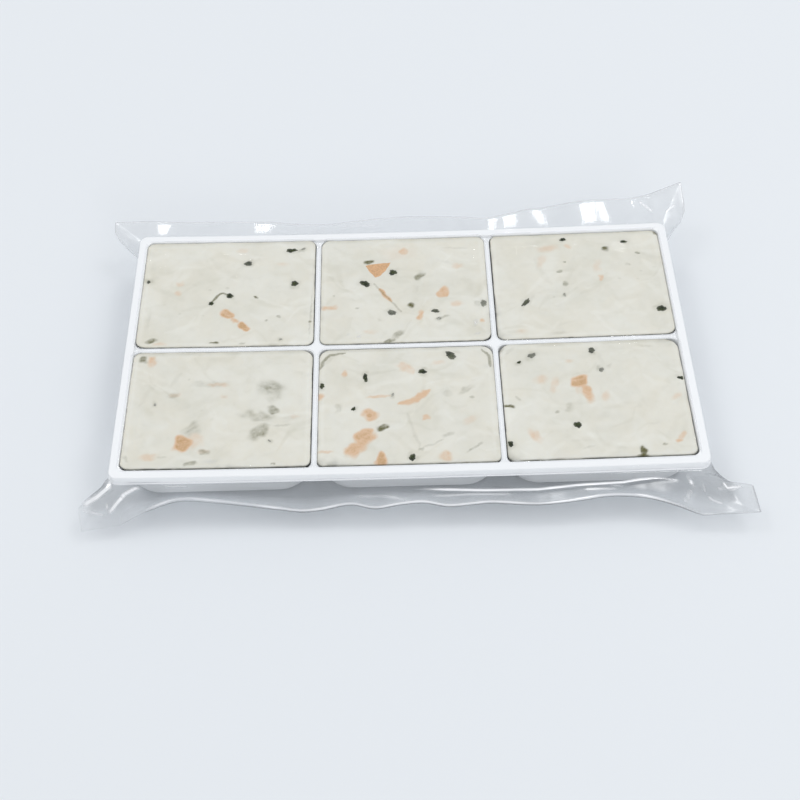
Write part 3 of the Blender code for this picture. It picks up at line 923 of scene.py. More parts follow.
def makeCake(number, span):
    back, right, front, left = (gap * mm for gap in cake["gaps"][number])
    centreX = span[0] + (left - right) / 2
    centreY = span[1] + (front - back) / 2
    halfX = span[2] - (left + right) / 2
    halfY = span[3] - (front + back) / 2
    cols, rows = (int(round(2 * half / cake["cell"])) for half in (halfX, halfY))
    block = addShape(bpy.ops.mesh.primitive_grid_add, x_subdivisions=cols, y_subdivisions=rows, size=1.0)
    block.name = "cakeBlock%d" % number
    points = getPoints(block)
    flatX = points[:, 0] * 2 * halfX
    flatY = points[:, 1] * 2 * halfY
    edgeX = halfX - np.abs(flatX)
    edgeY = halfY - np.abs(flatY)
    radii = [value * mm for value in cake["corners"][number]]
    x, y = cornerSqueeze(flatX, flatY, halfX, halfY, radii)
    inward = np.minimum(edgeX, edgeY)
    wobble = mixedNoise(x + centreX, y + centreY, (*cake["wobble"], 7 * number),
                        (*cake["fineWobble"], 7 * number + 1))
    pull = np.maximum(wobble + 0.05 * mm, 0) * np.clip(1 - inward / cake["wobbleReach"], 0, 1)
    x += centreX - np.sign(x) * pull * (edgeX < edgeY)
    y += centreY - np.sign(y) * pull * (edgeY <= edgeX)
    level = ribTop + cake["rise"]
    z = level + topWaves(x, y, flatX / halfX, flatY / halfY, number)
    z += mixedNoise(x, y, (*cake["fineWaves"], 3 * number + 1))
    pressed = pressedRise(x, y, span, number)
    edge = cake["edgeRound"] * (1 + 0.25 * softNoise(x, y, 6 * mm, 90 + number)) * (1 - 0.7 * pressed / mm)
    beside = np.clip(edge - inward, 0, edge)
    z += pressed - edge + np.sqrt(edge ** 2 - beside ** 2 * 0.98)
    setPoints(block, np.stack([x, y, z], 1))
    startEdit(block, "EDGE")
    low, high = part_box("cake_%d" % number)
    steps = cake["sideSteps"]
    drop = (level - low[2] - cake["edgeRound"]) / steps
    lean = cake["taper"] / steps
    for step in range(steps):
        pickBorder(block)
        bpy.ops.mesh.extrude_region_move(TRANSFORM_OT_translate={"value": (0, 0, -drop)})
        bpy.ops.transform.resize(value=(1 - lean / halfX, 1 - lean / halfY, 1.0))
    closeOff(block)
    endEdit()
    paintCake(block, number, span, level)
    points = getPoints(block)
    down = np.clip((level - cake["edgeRound"] - points[:, 2]) / (steps * drop), 0, 1)
    radius = lowRound(level + 3 * mm - points[:, 2]) * smoothStep(0.1, 0.3, down)
    points[:, :2] -= (centreX, centreY)
    points[:, 0], points[:, 1] = cornerSqueeze(points[:, 0], points[:, 1], halfX - cake["taper"] * down,
                                               halfY - cake["taper"] * down, [radius] * 4)
    points[:, :2] += (centreX, centreY)
    points = bowUp(points)
    setPoints(block, points)
    settle(block, 60)
    return block


def doughMaterial():
    material, tree, shader = newMaterial("radishDough")
    # leaf and carrot stains, tone with a painted highlight band, and the gap's painted shade
    leaf, peach, tone, gap = addPaint(tree, "stainsAndPaintedLight")
    cloud, height = addMottle(tree, 70.0, 420.0, 0.35)
    fine, grain = addMottle(tree, 260.0, 1800.0, 0.5)
    base = addFade(tree, cloud, 0.38, 0.66, 0.8, cake["colour"], cake["warm"])
    base = addFade(tree, fine, 0.56, 0.74, 0.22, base, cake["cool"])
    base = addFade(tree, tone, 0.5, 0.0, 0.85, base, cake["cool"])
    base = addFade(tree, tone, 0.5, 1.0, 1.0, base, cake["pale"])
    speckle = addRange(tree, grain, 0.36, 0.64, 0.80, 1.20)
    peachy = addSum(tree, peach, speckle, 0.0)
    base = addFade(tree, peachy, 0.0, 0.6, 1.0, base, cake["peach"])
    base = addFade(tree, peachy, 0.65, 1.1, 1.0, base, cake["carrot"])
    base = addTint(tree, addSum(tree, leaf, speckle, 0.0), base, cake["green"])
    rough = cake["roughness"]
    # the gap's painted shade darkens the base colour towards the edge colour
    setInputs(shader, {
        "Base Color": addTint(tree, gap, base, cake["edge"]),
        "Roughness": addRange(tree, fine, 0.3, 0.7, rough - 0.08, rough + 0.08),
        "Specular IOR Level": cake["gloss"],
        "Subsurface Weight": 0.08, "Subsurface Radius": (0.9, 0.8, 0.6), "Subsurface Scale": 0.0012,
    })
    addBump(tree, shader, height, 0.00016, 0.5)
    return material


# Bits of leaf and carrot that lie flush in the cakes' tops. Each leaf is the cake, the place in the
# photograph's pixels, length and width in millimetres, and the angle. A carrot bit is an outline in pixels.
flecks = {
    "sheet": 0.20 * mm,
    "sides": 30,
    "core": 0.98,                # the crisp part's share of the measured size
    "dark": (0.010, 0.016, 0.003),
    "light": (0.050, 0.064, 0.016),
    "carrot": (0.740, 0.455, 0.250),
    "gloss": 0.15,               # low, because the film lies close on them
    "halo": 0.9,                 # how much longer and wider the stain around a leaf is, in millimetres
    "rows": [
        (1, 291.5, 250.5, 5.6, 2.5, 2), (1, 303.5, 249, 2.6, 1.1, 12), (1, 248.4, 263.8, 4.2, 3.1, -10),
        (1, 294.6, 283.5, 3.9, 3.3, 70), (1, 229.8, 296, 3.7, 3.0, -15), (1, 211.2, 303.6, 2.9, 2.2, 60),
        (1, 148.9, 282.7, 2.1, 1.8, 60), (1, 280.4, 339.1, 1.6, 1.3, 0),
        (2, 392.9, 272.8, 4.0, 3.6, 70), (2, 365, 283.8, 5.2, 3.7, -30), (2, 391.8, 312.7, 4.7, 3.1, -15),
        (2, 435.4, 311, 3.7, 2.5, -10), (2, 439, 318.4, 2.4, 2.0, 0), (2, 483.6, 303, 4.1, 3.2, 80),
        (3, 562.5, 239.9, 3.0, 2.0, 0), (3, 623.4, 241.6, 3.3, 2.0, -5), (3, 525.9, 302.5, 6.0, 2.3, 52),
        (3, 661.4, 308.4, 5.0, 3.5, 5), (3, 564.6, 294.9, 2.2, 1.3, 90),
        (4, 155, 405, 1.9, 1.0, 90), (4, 269.4, 440.9, 1.6, 0.9, -40),
        (5, 322, 386, 3.2, 2.3, 90), (5, 365.4, 377.9, 5.1, 2.2, 92), (5, 422.4, 371.6, 4.3, 2.6, -22),
        (5, 450.7, 355.2, 5.7, 3.9, -35), (5, 353.5, 409, 2.4, 1.8, 70), (5, 392.7, 395, 2.4, 1.3, 75),
        (5, 412.4, 457.3, 3.6, 3.1, 50),
        (6, 591.5, 350.2, 3.5, 3.2, 80), (6, 531.7, 355.4, 4.3, 2.7, 30), (6, 519, 362.3, 2.4, 1.4, 20),
        (6, 601.3, 369.9, 2.7, 2.4, 80), (6, 681, 377.7, 3.4, 2.0, -5), (6, 577.7, 425, 3.7, 3.4, 0),
        (6, 510.4, 443.7, 3.2, 2.9, 70),
    ],
    "sunk": {  # how far some of these show the dough above them, by their place in the list
        1: 0.30, 2: 0.08, 6: 0.10, 7: 0.35, 10: 0.15, 11: 0.08, 12: 0.40, 13: 0.24, 16: 0.06, 18: 0.30,
        19: 0.45, 20: 0.45, 24: 0.06, 26: 0.45, 28: 0.10, 29: 0.20, 31: 0.28,
    },
    "wedges": [
        (2, ((364.5, 265.8), (372, 264.2), (382, 263.2), (391.5, 262.4), (389.5, 266.5), (386, 271.5),
             (381, 276), (375, 278.2), (371.5, 274.5), (367.5, 270))),
    ],
}


# Heights of a cake's top under some places; beyond its edge, a little below its level
def dropOn(block, x, y):
    heights = []
    for a, b in zip(x, y):
        found, place = block.ray_cast(Vector((a, b, 0.05)), Vector((0, 0, -1)))[:2]
        level = cakeLevel(a) - 0.5 * mm
        heights.append(max(place.z, level) if found else level)
    return np.array(heights)


# A flat disc with two inner rings, whose points go out to 1
def unitDisc(sides):
    disc = addShape(bpy.ops.mesh.primitive_circle_add, vertices=sides, radius=1.0, fill_type="NGON")
    startEdit(disc, "FACE")
    selectAll()
    bpy.ops.mesh.inset(thickness=0.22, depth=0.0)
    bpy.ops.mesh.inset(thickness=0.36, depth=0.0)
    endEdit()
    return disc, getPoints(disc)


def cakeLevel(x):
    level = ribTop + cake["rise"]
    return level + float(bowLift(x, level))


# One bit of leaf: an uneven disc, a little crowned, its edge sunk in the dough
def makeLeafBit(row, index):
    number, px, py, length, width, angle = row
    spot = spotAt(px, py, cakeLevel(spotAt(px, py, cakeLevel(0.0)).x))
    bit, points = unitDisc(flecks["sides"])
    rng = np.random.default_rng(900 + index)
    turn = np.arctan2(points[:, 1], points[:, 0])
    reach = np.hypot(points[:, 0], points[:, 1])
    ragged = np.ones_like(turn)
    for lobes, share in ((2, 0.13), (3, 0.13), (5, 0.11), (7, 0.08), (11, 0.05)):
        ragged += share * rng.uniform(0.4, 1.0) * np.sin(lobes * turn + rng.uniform(0, 6.28))
    flatX = points[:, 0] * ragged * length * flecks["core"] * mm / 2
    flatY = points[:, 1] * ragged * width * flecks["core"] * mm / 2
    a = radians(angle)
    x = spot.x + flatX * cos(a) - flatY * sin(a)
    y = spot.y + flatX * sin(a) + flatY * cos(a)
    lift = 0.07 * mm * (1 - reach ** 2) - 0.02 * mm
    setPoints(bit, np.stack([x, y, dropOn(blocks[number - 1], x, y) + lift], 1))
    depth = flecks["sunk"].get(index, 0.0) + 0.25 * smoothStep(0.6, 1.0, reach)
    setColours(bit, "sunk", np.stack([depth] * 4, 1))
    return bit


# One carrot bit: a disc drawn out to the outline, flat on top
def makeWedge(number, outline):
    spots = [spotAt(px, py, cakeLevel(0.0)) for px, py in outline]
    middle = sum((Vector(spot) for spot in spots), Vector()) / len(spots)
    bit, points = unitDisc(len(spots))
    reach = np.hypot(points[:, 0], points[:, 1])
    turn = np.arctan2(points[:, 1], points[:, 0])
    first = turn[np.argmax(reach)]
    steps = np.rint((turn - first) / (2 * pi / len(spots))).astype(int) % len(spots)
    rim = np.array([(spot.x, spot.y) for spot in spots])[::-1]
    x = middle.x + (rim[steps, 0] - middle.x) * reach / reach.max()
    y = middle.y + (rim[steps, 1] - middle.y) * reach / reach.max()
    lift = np.where(reach > 0.99 * reach.max(), -0.02 * mm, 0.05 * mm)
    setPoints(bit, np.stack([x, y, dropOn(blocks[number - 1], x, y) + lift], 1))
    return bit


def makeSet(bits, name):
    whole = joinAll(bits, name)
    applyModifier(whole, "SOLIDIFY", thickness=flecks["sheet"], offset=-1.0)
    settle(whole, 60)
    return whole


def bitMaterial(name, dark, light, scale):
    material, tree, shader = newMaterial(name)
    cloud, height = addMottle(tree, scale, 2500.0, 0.5)
    tint = addFade(tree, cloud, 0.42, 0.7, 1.0, dark, light)
    sunk = addNode(tree, "ShaderNodeAttribute", attribute_name="sunk")
    patchy = addSum(tree, sunk.outputs["Fac"], addRange(tree, height, 0.35, 0.65, 0.4, 1.6), 0.0)
    setInputs(shader, {"Base Color": addTint(tree, patchy, tint, cake["colour"]),
                       "Roughness": addRange(tree, cloud, 0.3, 0.7, 0.45, 0.6),
                       "Specular IOR Level": flecks["gloss"]})
    addBump(tree, shader, height, 0.0001, 0.6)
    return material


dough = doughMaterial()
blocks = []
for number, span in enumerate(wellSpans(), start=1):
    block = makeCake(number, span)
    hand(block, dough, "cake_%d" % number)
    blocks.append(block)
print("cakes modelled:", sum(len(block.data.polygons) for block in blocks), "faces")

greenFlecks = makeSet([makeLeafBit(row, index) for index, row in enumerate(flecks["rows"])], "greenFlecks")
hand(greenFlecks, bitMaterial("greenLeaf", flecks["dark"], flecks["light"], 500.0))
carrotBits = makeSet([makeWedge(number, outline) for number, outline in flecks["wedges"]], "carrotBits")
speckled = tuple(channel * 0.7 for channel in flecks["carrot"])
hand(carrotBits, bitMaterial("carrot", flecks["carrot"], speckled, 1500.0))
print("flecks modelled:", len(flecks["rows"]) + len(flecks["wedges"]))


# Bag: clear film that clings to the rim and the cakes, with a loose skirt, a back flap and free corners
film = {
    "lift": 0.14 * mm,
    "side": 0.35 * mm,
    "inset": 0.45 * mm,          # how far inside its side the top sheet ends
    "edgeDip": 0.16,             # and how far it has fallen there, in millimetres
    "core": 4.2 * mm,            # the lip's outward directions fan out around points so far inside
    "corner": 4.1 * mm,
    "cell": 1.1 * mm,
    "ribReach": 2.4 * mm,
    "ribCell": 0.2 * mm,
    "paintedEdgeLine": 0.6,             # painted highlight along the edges of the rim and ribs, where the film is stretched over them
    "endCells": 30,
    "endLength": 4.6 * mm,
    "round": 0.75 * mm,
    "sideSeamZ": 6.0 * mm,
    "lipRows": (  # millimetres out from the rim at the back, elsewhere, and down, of each row over the lip
        (0.20, 0.04, 0.28), (0.36, 0.06, 0.62), (0.40, 0.08, 1.1), (0.40, 0.08, 2.2), (0.42, 0.08, 2.60),
        (0.42, 0.12, 2.75), (0.42, 0.30, 2.98), (0.42, 0.34, 3.12), (0.42, 0.34, 3.65)),
    "frontSeam": [  # x, y, z in millimetres of points on the seam's smooth line, as in the solid
        (-108.7, -71.8, 5.2), (-101.1, -68.3, 6.8), (-96, -66.8, 7.8), (-91.2, -65.4, 8.5),
        (-87.2, -64.8, 9), (-82.1, -64.8, 9.2), (-74.5, -65.5, 8.8), (-65, -66.4, 8), (-55.6, -67.5, 7.2),
        (-47.9, -68.6, 7), (-41, -69.4, 6.6), (-33.9, -69.4, 7.4), (-22.3, -68.1, 8.5), (-13.2, -69.7, 8),
        (-3.9, -68.6, 8.5), (5.1, -68.1, 8.6), (14.3, -69.4, 7.6), (23.4, -69, 7.9), (30.6, -68.7, 8.2),
        (46.8, -69.9, 8), (56, -69.5, 8.2), (65.7, -68.6, 8.6), (72.2, -67.7, 8.8), (78.1, -67.6, 9),
        (85.5, -68.2, 8.9), (92.2, -69.3, 8.2), (99.8, -71.7, 7.4), (106.8, -74.5, 6.5), (111.5, -76, 6.2),
    ],
    "backSeam": [
        (-115.4, 73.9, 17), (-98.9, 72.3, 17), (-81.4, 71.6, 17), (-67.9, 71.3, 17), (-57.8, 70.8, 17),
        (-49.7, 69.6, 17), (-41.7, 68.8, 17), (-31.2, 68.6, 17), (-21.7, 69.8, 17), (-10.8, 71, 17),
        (5.8, 71.7, 17), (27.5, 70.5, 17), (35.7, 69.8, 17), (49.4, 72.8, 17), (56.1, 74.5, 17),
        (61, 74.8, 17), (76.8, 78.1, 17), (88.3, 78.8, 17), (99, 79, 17), (106.3, 80.4, 17.1),
        (112, 81.8, 17.5),
    ],
    "ears": {
        "frontRight": ((117.2, -57.9, 6.0), (119.0, -60.6, 6.6), (121.8, -62.0, 7.6), (125.6, -63.4, 9.0),
                       (128.6, -64.8, 10.0), (130.2, -75.2, 7.5)),
        "backRight": ((118.8, 66.0, 10.0), (121.6, 67.8, 13.0), (123.4, 71.9, 15.2), (123.6, 76.0, 16.5),
                      (123.3, 86.2, 19.0)),
        "backLeft": ((-122.4, 64.6, 13.0), (-125.0, 68.4, 15.0), (-125.0, 73.0, 17.0)),
        "frontLeft": ((-125.6, -64.8, 6.0), (-123.6, -73.8, 4.5)),
    },
    "waves": ((0.45 * mm, 16 * mm, 501), (0.22 * mm, 6 * mm, 502), (0.06 * mm, 2.5 * mm, 503)),
    "frontSwell": 0.5 * mm,
    "flapShare": 0.01,           # how much of the waves the tight back flap has
    "layerGap": 0.25 * mm,       # between the loose film's two layers
    "earSag": 5.5 * mm,          # how far the front right corner's film hangs below a straight line
    "seamAt": 0.55 * mm,         # the sealed line's distance from the film's edge
    "seamHalf": 0.32 * mm,
    "seamRise": 0.22 * mm,
    "seamFade": (-104.0, -90.0, 98.0, 110.0),  # x where the line begins, is full, starts to fade and is faint
    "lipHighlight": 0.85,             # painted highlight along the lip's foot, where the film is stretched over it
    # painted highlight along the sealed line, and a painted shadow line at the film's very edge
    "seamHighlight": 0.75,
    "edgeShadow": 0.6,
    "flapHaze": (0.55, 0.3, 1.0),            # in its middle, and how much more at its left and right ends
    "flapEnds": (104 * mm, 113 * mm),
    "foot": (108.3 * mm, 57.7 * mm, 0.06 * mm),
    "upperRows": 32,
    "lowerRows": 12,
    "colour": (0.62, 0.65, 0.68),
    # colour of the film's painted highlights
    "white": (0.97, 0.98, 1.0),
    # colour of the film's painted shade
    "dark": (0.12, 0.135, 0.15),
    "layers": 0.34,              # how much the layers in front darken what is behind them near the lip, partly painted shade under the lip
    "roughness": 0.03,
    "frontRough": 0.20,          # how much duller the crumpled front and corners are
    "ior": 2.9,
}

# Folds of the loose film: the pixels that each runs through, how far it stands up in millimetres, its half
# width in pixels, and how strong its painted highlight (white) and painted shade (dark) are. Rows that stand
# up by nothing only paint shade, under the lip, between the wells and beside a crest.
folds = [
    # Left corner and left part of the front
    (((110.6, 478.6), (108.9, 487), (97, 497), (81.9, 506.4)), 1.1, 3.2, 0.85, 0),
    (((80.2, 509.8), (90.4, 512.3), (104.7, 515.7)), 0.4, 2, 0.35, 0),
    (((108, 514.8), (115.7, 504.7), (124, 494.6), (134.3, 488.7), (141, 487.5)), 0.9, 2.6, 0.8, 0),
    (((107, 503), (107, 510)), 0.2, 1.4, 0.5, 0), (((163, 486.5), (188, 486.3)), 0.1, 1.2, 0.4, 0),
    # the first fold here is painted shade under the lip's left part
    (((127, 484.5), (161, 484.5)), 0, 2.2, 0, 0.4), (((108.9, 478.6), (78.6, 505.6)), 0.2, 1.4, 0.3, 0),
    # painted shade between the wells under the lip
    (((298, 484), (312, 483.6), (327, 483)), 0, 2.6, 0, 0.4),
    # Front, from its middle to the right
    (((415.9, 489), (482.5, 490.2), (537.7, 489.4), (580, 484.8),
      (623, 482.2), (638.8, 479.5), (654.5, 478), (675.5, 478.2)), 0.8, 1.6, 0.95, 0),
    # painted shade under the long crest
    (((416, 491.6), (482.5, 492.8), (537.7, 492), (580, 487.6), (623, 485)), 0, 1.4, 0, 0.3),
    (((428.9, 495), (443.5, 495.9), (469.5, 494.2), (513.4, 494.2)), 0.25, 1.8, 0.35, 0),
    (((583.6, 490), (617.7, 488.7)), 0.2, 1.4, 0.35, 0), (((610, 485.5), (624, 485.5)), 0.1, 1.2, 0.3, 0),
    (((352.5, 496.7), (385, 495.9), (411, 501.6)), 0.12, 3, 0.22, 0),
    # Right corner
    (((689.3, 471.7), (689.3, 478.9), (693.9, 486.8)), 0.5, 1.8, 0.8, 0),
    (((692, 489), (688, 496), (684, 502.5)), 0.3, 3.4, 0.3, 0),
    # painted shade in a shallow hollow
    (((700, 478), (703, 488), (700, 500)), -0.2, 3.5, 0, 0.12),
    (((707, 495.3), (712.3, 499.9), (724, 504.5)), 0.25, 1.8, 0.4, 0),
    (((722.8, 481.5), (727.3, 488), (742.4, 486.5)), 0.4, 1.7, 0.75, 0),
    (((714.9, 489.4), (725.4, 488)), 0.2, 1.2, 0.35, 0),
    (((729.3, 490.7), (737.2, 489.4)), 0.2, 1.2, 0.35, 0),
    (((702.4, 481.5), (705.7, 493.3)), 0.1, 1.3, 0.25, 0),
    # Back flap
    (((340, 226.2), (380, 225.6)), 0.2, 1.6, 0.25, 0),
    (((638, 201), (645, 206), (653, 212)), 0.5, 1.8, 0.6, 0),
    (((665, 212), (675.6, 205)), 0.3, 1.4, 0.5, 0), (((116, 226), (122, 233), (131, 241)), 0.2, 2, 0.12, 0),
]

# Small painted glints on the tight film over the cakes: the pixel, length and width in pixels, and strength
glints = [
    (195, 242, 9, 1.1, 0.5), (359, 337, 3, 2, 0.7), (349, 334, 2, 1.6, 0.4), (475.5, 322.5, 2.2, 5, 0.55),
    (478, 333, 5, 2, 0.4), (517, 461, 9, 1.4, 0.5), (620, 454, 16, 1.4, 0.35), (300, 243.5, 10, 1, 0.3),
    (560, 338.5, 12, 1, 0.3), (210, 461.5, 14, 1, 0.25),
]


# y and z in metres where the smooth line through a table's points passes x
def easedTable(table, x):
    rows = np.array(table) * mm
    count = len(rows)
    before = rows[np.maximum(np.arange(count) - 1, 0)]
    after = rows[np.minimum(np.arange(count) + 1, count - 1)]
    at = np.clip(np.searchsorted(rows[:, 0], x) - 1, 0, count - 2)
    width = rows[at + 1, 0] - rows[at, 0]
    t = np.clip((x - rows[at, 0]) / width, 0, 1)
    out = []
    for column in (1, 2):
        slopes = (after[:, column] - before[:, column]) / (after[:, 0] - before[:, 0])
        ends = rows[at, column] + (rows[at + 1, column] - rows[at, column]) * (3 * t ** 2 - 2 * t ** 3)
        turns = slopes[at] * (t ** 3 - 2 * t ** 2 + t) + slopes[at + 1] * (t ** 3 - t ** 2)
        out.append(ends + width * turns)
    return out


# Places of the grid's lines: even in the middle, closer beside the ribs and towards both ends
def gridLines(half, cell, ribs):
    ends = half - film["endLength"]
    middle = max(2, int(round(2 * ends / cell)))
    inner = np.linspace(-ends, ends, middle + 1)
    for rib in ribs:
        inner = inner[np.abs(inner - rib) > film["ribReach"] + cell / 3]
        fine = int(round(2 * film["ribReach"] / film["ribCell"]))
        inner = np.sort(np.append(inner, rib + np.linspace(-1, 1, fine + 1) * film["ribReach"]))
    close = film["endLength"] * np.arange(1, film["endCells"] + 1) / film["endCells"]
    return np.concatenate([-(ends + close)[::-1], inner, ends + close])


# Height of the film over the rim, the ribs and the cakes
def clingHeight(x, y):
    out = np.maximum(np.abs(x) - innerX, np.abs(y) - innerY)
    onRim = smoothStep(-1.1 * mm, 0.35 * mm, out)
    height = ribTop + film["lift"] + pack["ribDrop"] * onRim
    for number, span in enumerate(wellSpans(), start=1):
        cx, cy, hx, hy = span
        inside = np.minimum(hx - np.abs(x - cx), hy - np.abs(y - cy))
        height -= 0.06 * mm * np.exp(-((inside - 0.35 * mm) / (0.5 * mm)) ** 2)
        shareX, shareY = (np.clip(np.abs(x - cx) / hx, 0, 1), np.clip(np.abs(y - cy) / hy, 0, 1))
        top = cake["rise"] + topWaves(x, y, shareX, shareY, number)
        height += np.where(inside > 0, top * np.clip(inside / (3 * mm), 0, 1), 0.0)
        height += np.where(inside > -0.5 * mm, pressedRise(x, y, span, number) * (1 - onRim), 0.0)
    return height


# Painted highlight of the tight film's small glints
def glintMask(px, py):
    white = np.zeros_like(px)
    for spotX, spotY, length, width, strength in glints:
        away = ((px - spotX) / (length / 2)) ** 2 + ((py - spotY) / (width / 2)) ** 2
        white = np.maximum(white, strength * np.exp(-away))
    return white


# Painted highlight of the film where it is stretched over the edges of the rim and the ribs
def edgeHighlightMask(x, y):
    outside = np.full_like(x, 1e9)
    for cx, cy, hx, hy in wellSpans():
        qx = np.abs(x - cx) - hx + pack["wellCorner"]
        qy = np.abs(y - cy) - hy + pack["wellCorner"]
        away = np.hypot(np.maximum(qx, 0), np.maximum(qy, 0)) + np.minimum(np.maximum(qx, qy), 0)
        outside = np.minimum(outside, away - pack["wellCorner"])
    uneven = 0.75 + 0.25 * softNoise(x, y, 5 * mm, 530)
    return film["paintedEdgeLine"] * uneven * np.exp(-((outside - 0.38 * mm) / (0.26 * mm)) ** 2)


def makeTopSheet():
    halfX = pack["halfLength"] + film["side"] - film["inset"]
    halfY = pack["halfWidth"] + film["side"] - film["inset"]
    linesX = gridLines(halfX, film["cell"], (-pack["ribX"], pack["ribX"]))
    linesY = gridLines(halfY, film["cell"], (0.0,))
    sheet, col, row = addGrid(len(linesX) - 1, len(linesY) - 1)
    x, y = cornerSqueeze(linesX[col], linesY[row], halfX, halfY, [film["corner"]] * 4)
    half = film["round"] * 0.5
    out = np.maximum(np.abs(linesX[col]) - halfX, np.abs(linesY[row]) - halfY) + half
    z = clingHeight(x, y) - film["edgeDip"] * mm * np.clip(out / half, 0, 1) ** 2
    bowed = bowUp(np.stack([x, y, z], 1))
    setPoints(sheet, bowed)
    # painted glints and painted highlights along the rim and rib edges
    white = np.maximum(glintMask(*pixelsOf(bowed)), edgeHighlightMask(x, y))
    setColours(sheet, "veil", np.stack([white * 0, white, white * 0, white * 0], 1))
    rim = ringOrder(len(linesX), len(linesY), col, row)
    return sheet, np.stack([x, y, z], 1)[rim]


# Indices of the sheet's edge points, counterclockwise from the front left corner
def ringOrder(cols, rows, col, row):
    at = {(c, r): k for k, (c, r) in enumerate(zip(col, row))}
    ring = [at[(c, 0)] for c in range(cols - 1)]
    ring += [at[(cols - 1, r)] for r in range(rows - 1)]
    ring += [at[(c, rows - 1)] for c in range(cols - 1, 0, -1)]
    ring += [at[(0, r)] for r in range(rows - 1, 0, -1)]
    return np.array(ring)


# Points at shares of a polyline's length
def pathPoint(path, share):
    path = np.array(path)
    steps = np.linalg.norm(np.diff(path, axis=0), axis=1)
    total = np.concatenate([[0], np.cumsum(steps)])
    at = share * total[-1]
    return np.stack([np.interp(at, total, path[:, k]) for k in range(3)], 1)


# The bag's outer edge, point for point beside the rim, and each point's share of its free corner
def makeSeam(ring):
    halfX = pack["halfLength"] + film["side"]
    corner = pack["halfLength"] - tray["rimCorner"]
    cornerY = pack["halfWidth"] - tray["rimCorner"]
    seam = np.zeros_like(ring)
    x, y = ring[:, 0], ring[:, 1]
    front = (y < 0) & (np.abs(x) < corner)
    back = (y > 0) & (np.abs(x) < corner)
    sides = (np.abs(y) <= cornerY) & (np.abs(x) > corner)
    for mask, table in ((front, film["frontSeam"]), (back, film["backSeam"])):
        seamY, seamZ = easedTable(table, x[mask])
        seam[mask] = np.stack([x[mask], seamY, seamZ], 1)
    seam[sides] = np.stack([np.sign(x[sides]) * halfX, y[sides], np.full(sides.sum(), film["sideSeamZ"])], 1)
    earAt = np.full(len(ring), -1.0)
    for name, points in film["ears"].items():
        signX = 1 if "Right" in name else -1
        signY = -1 if "front" in name else 1
        mask = (np.sign(x) == signX) & (np.sign(y) == signY) & ~front & ~back & ~sides
        turn = np.arctan2(signY * y[mask] - cornerY, signX * x[mask] - corner)
        share = np.clip(turn / (pi / 2), 0, 1)
        table = film["frontSeam"] if signY < 0 else film["backSeam"]
        edge = [float(value[0]) for value in easedTable(table, np.array([signX * corner]))]
        path = [(signX * halfX, signY * cornerY, film["sideSeamZ"])]
        path += [tuple(value * mm for value in point) for point in points]
        path += [(signX * corner, edge[0], edge[1])]
        seam[mask] = pathPoint(path, share)
        earAt[mask] = share
    return seam, earAt


# How far the loose film stands off its straight line between lip and seam: slow swells and ripples
def skirtWave(t, arc, ring, reach):
    tied = sin(pi * min(t, 1.0))
    wave = mixedNoise(arc, t * reach, *film["waves"])
    front = ring[:, 1] < 0
    return tied * np.where(front, wave + film["frontSwell"], film["flapShare"] * wave)


# The sealed line near the film's edge, 1 in its middle
def seamLine(t, reach):
    return np.exp(-(((1 - t) * reach - film["seamAt"]) / film["seamHalf"]) ** 2)


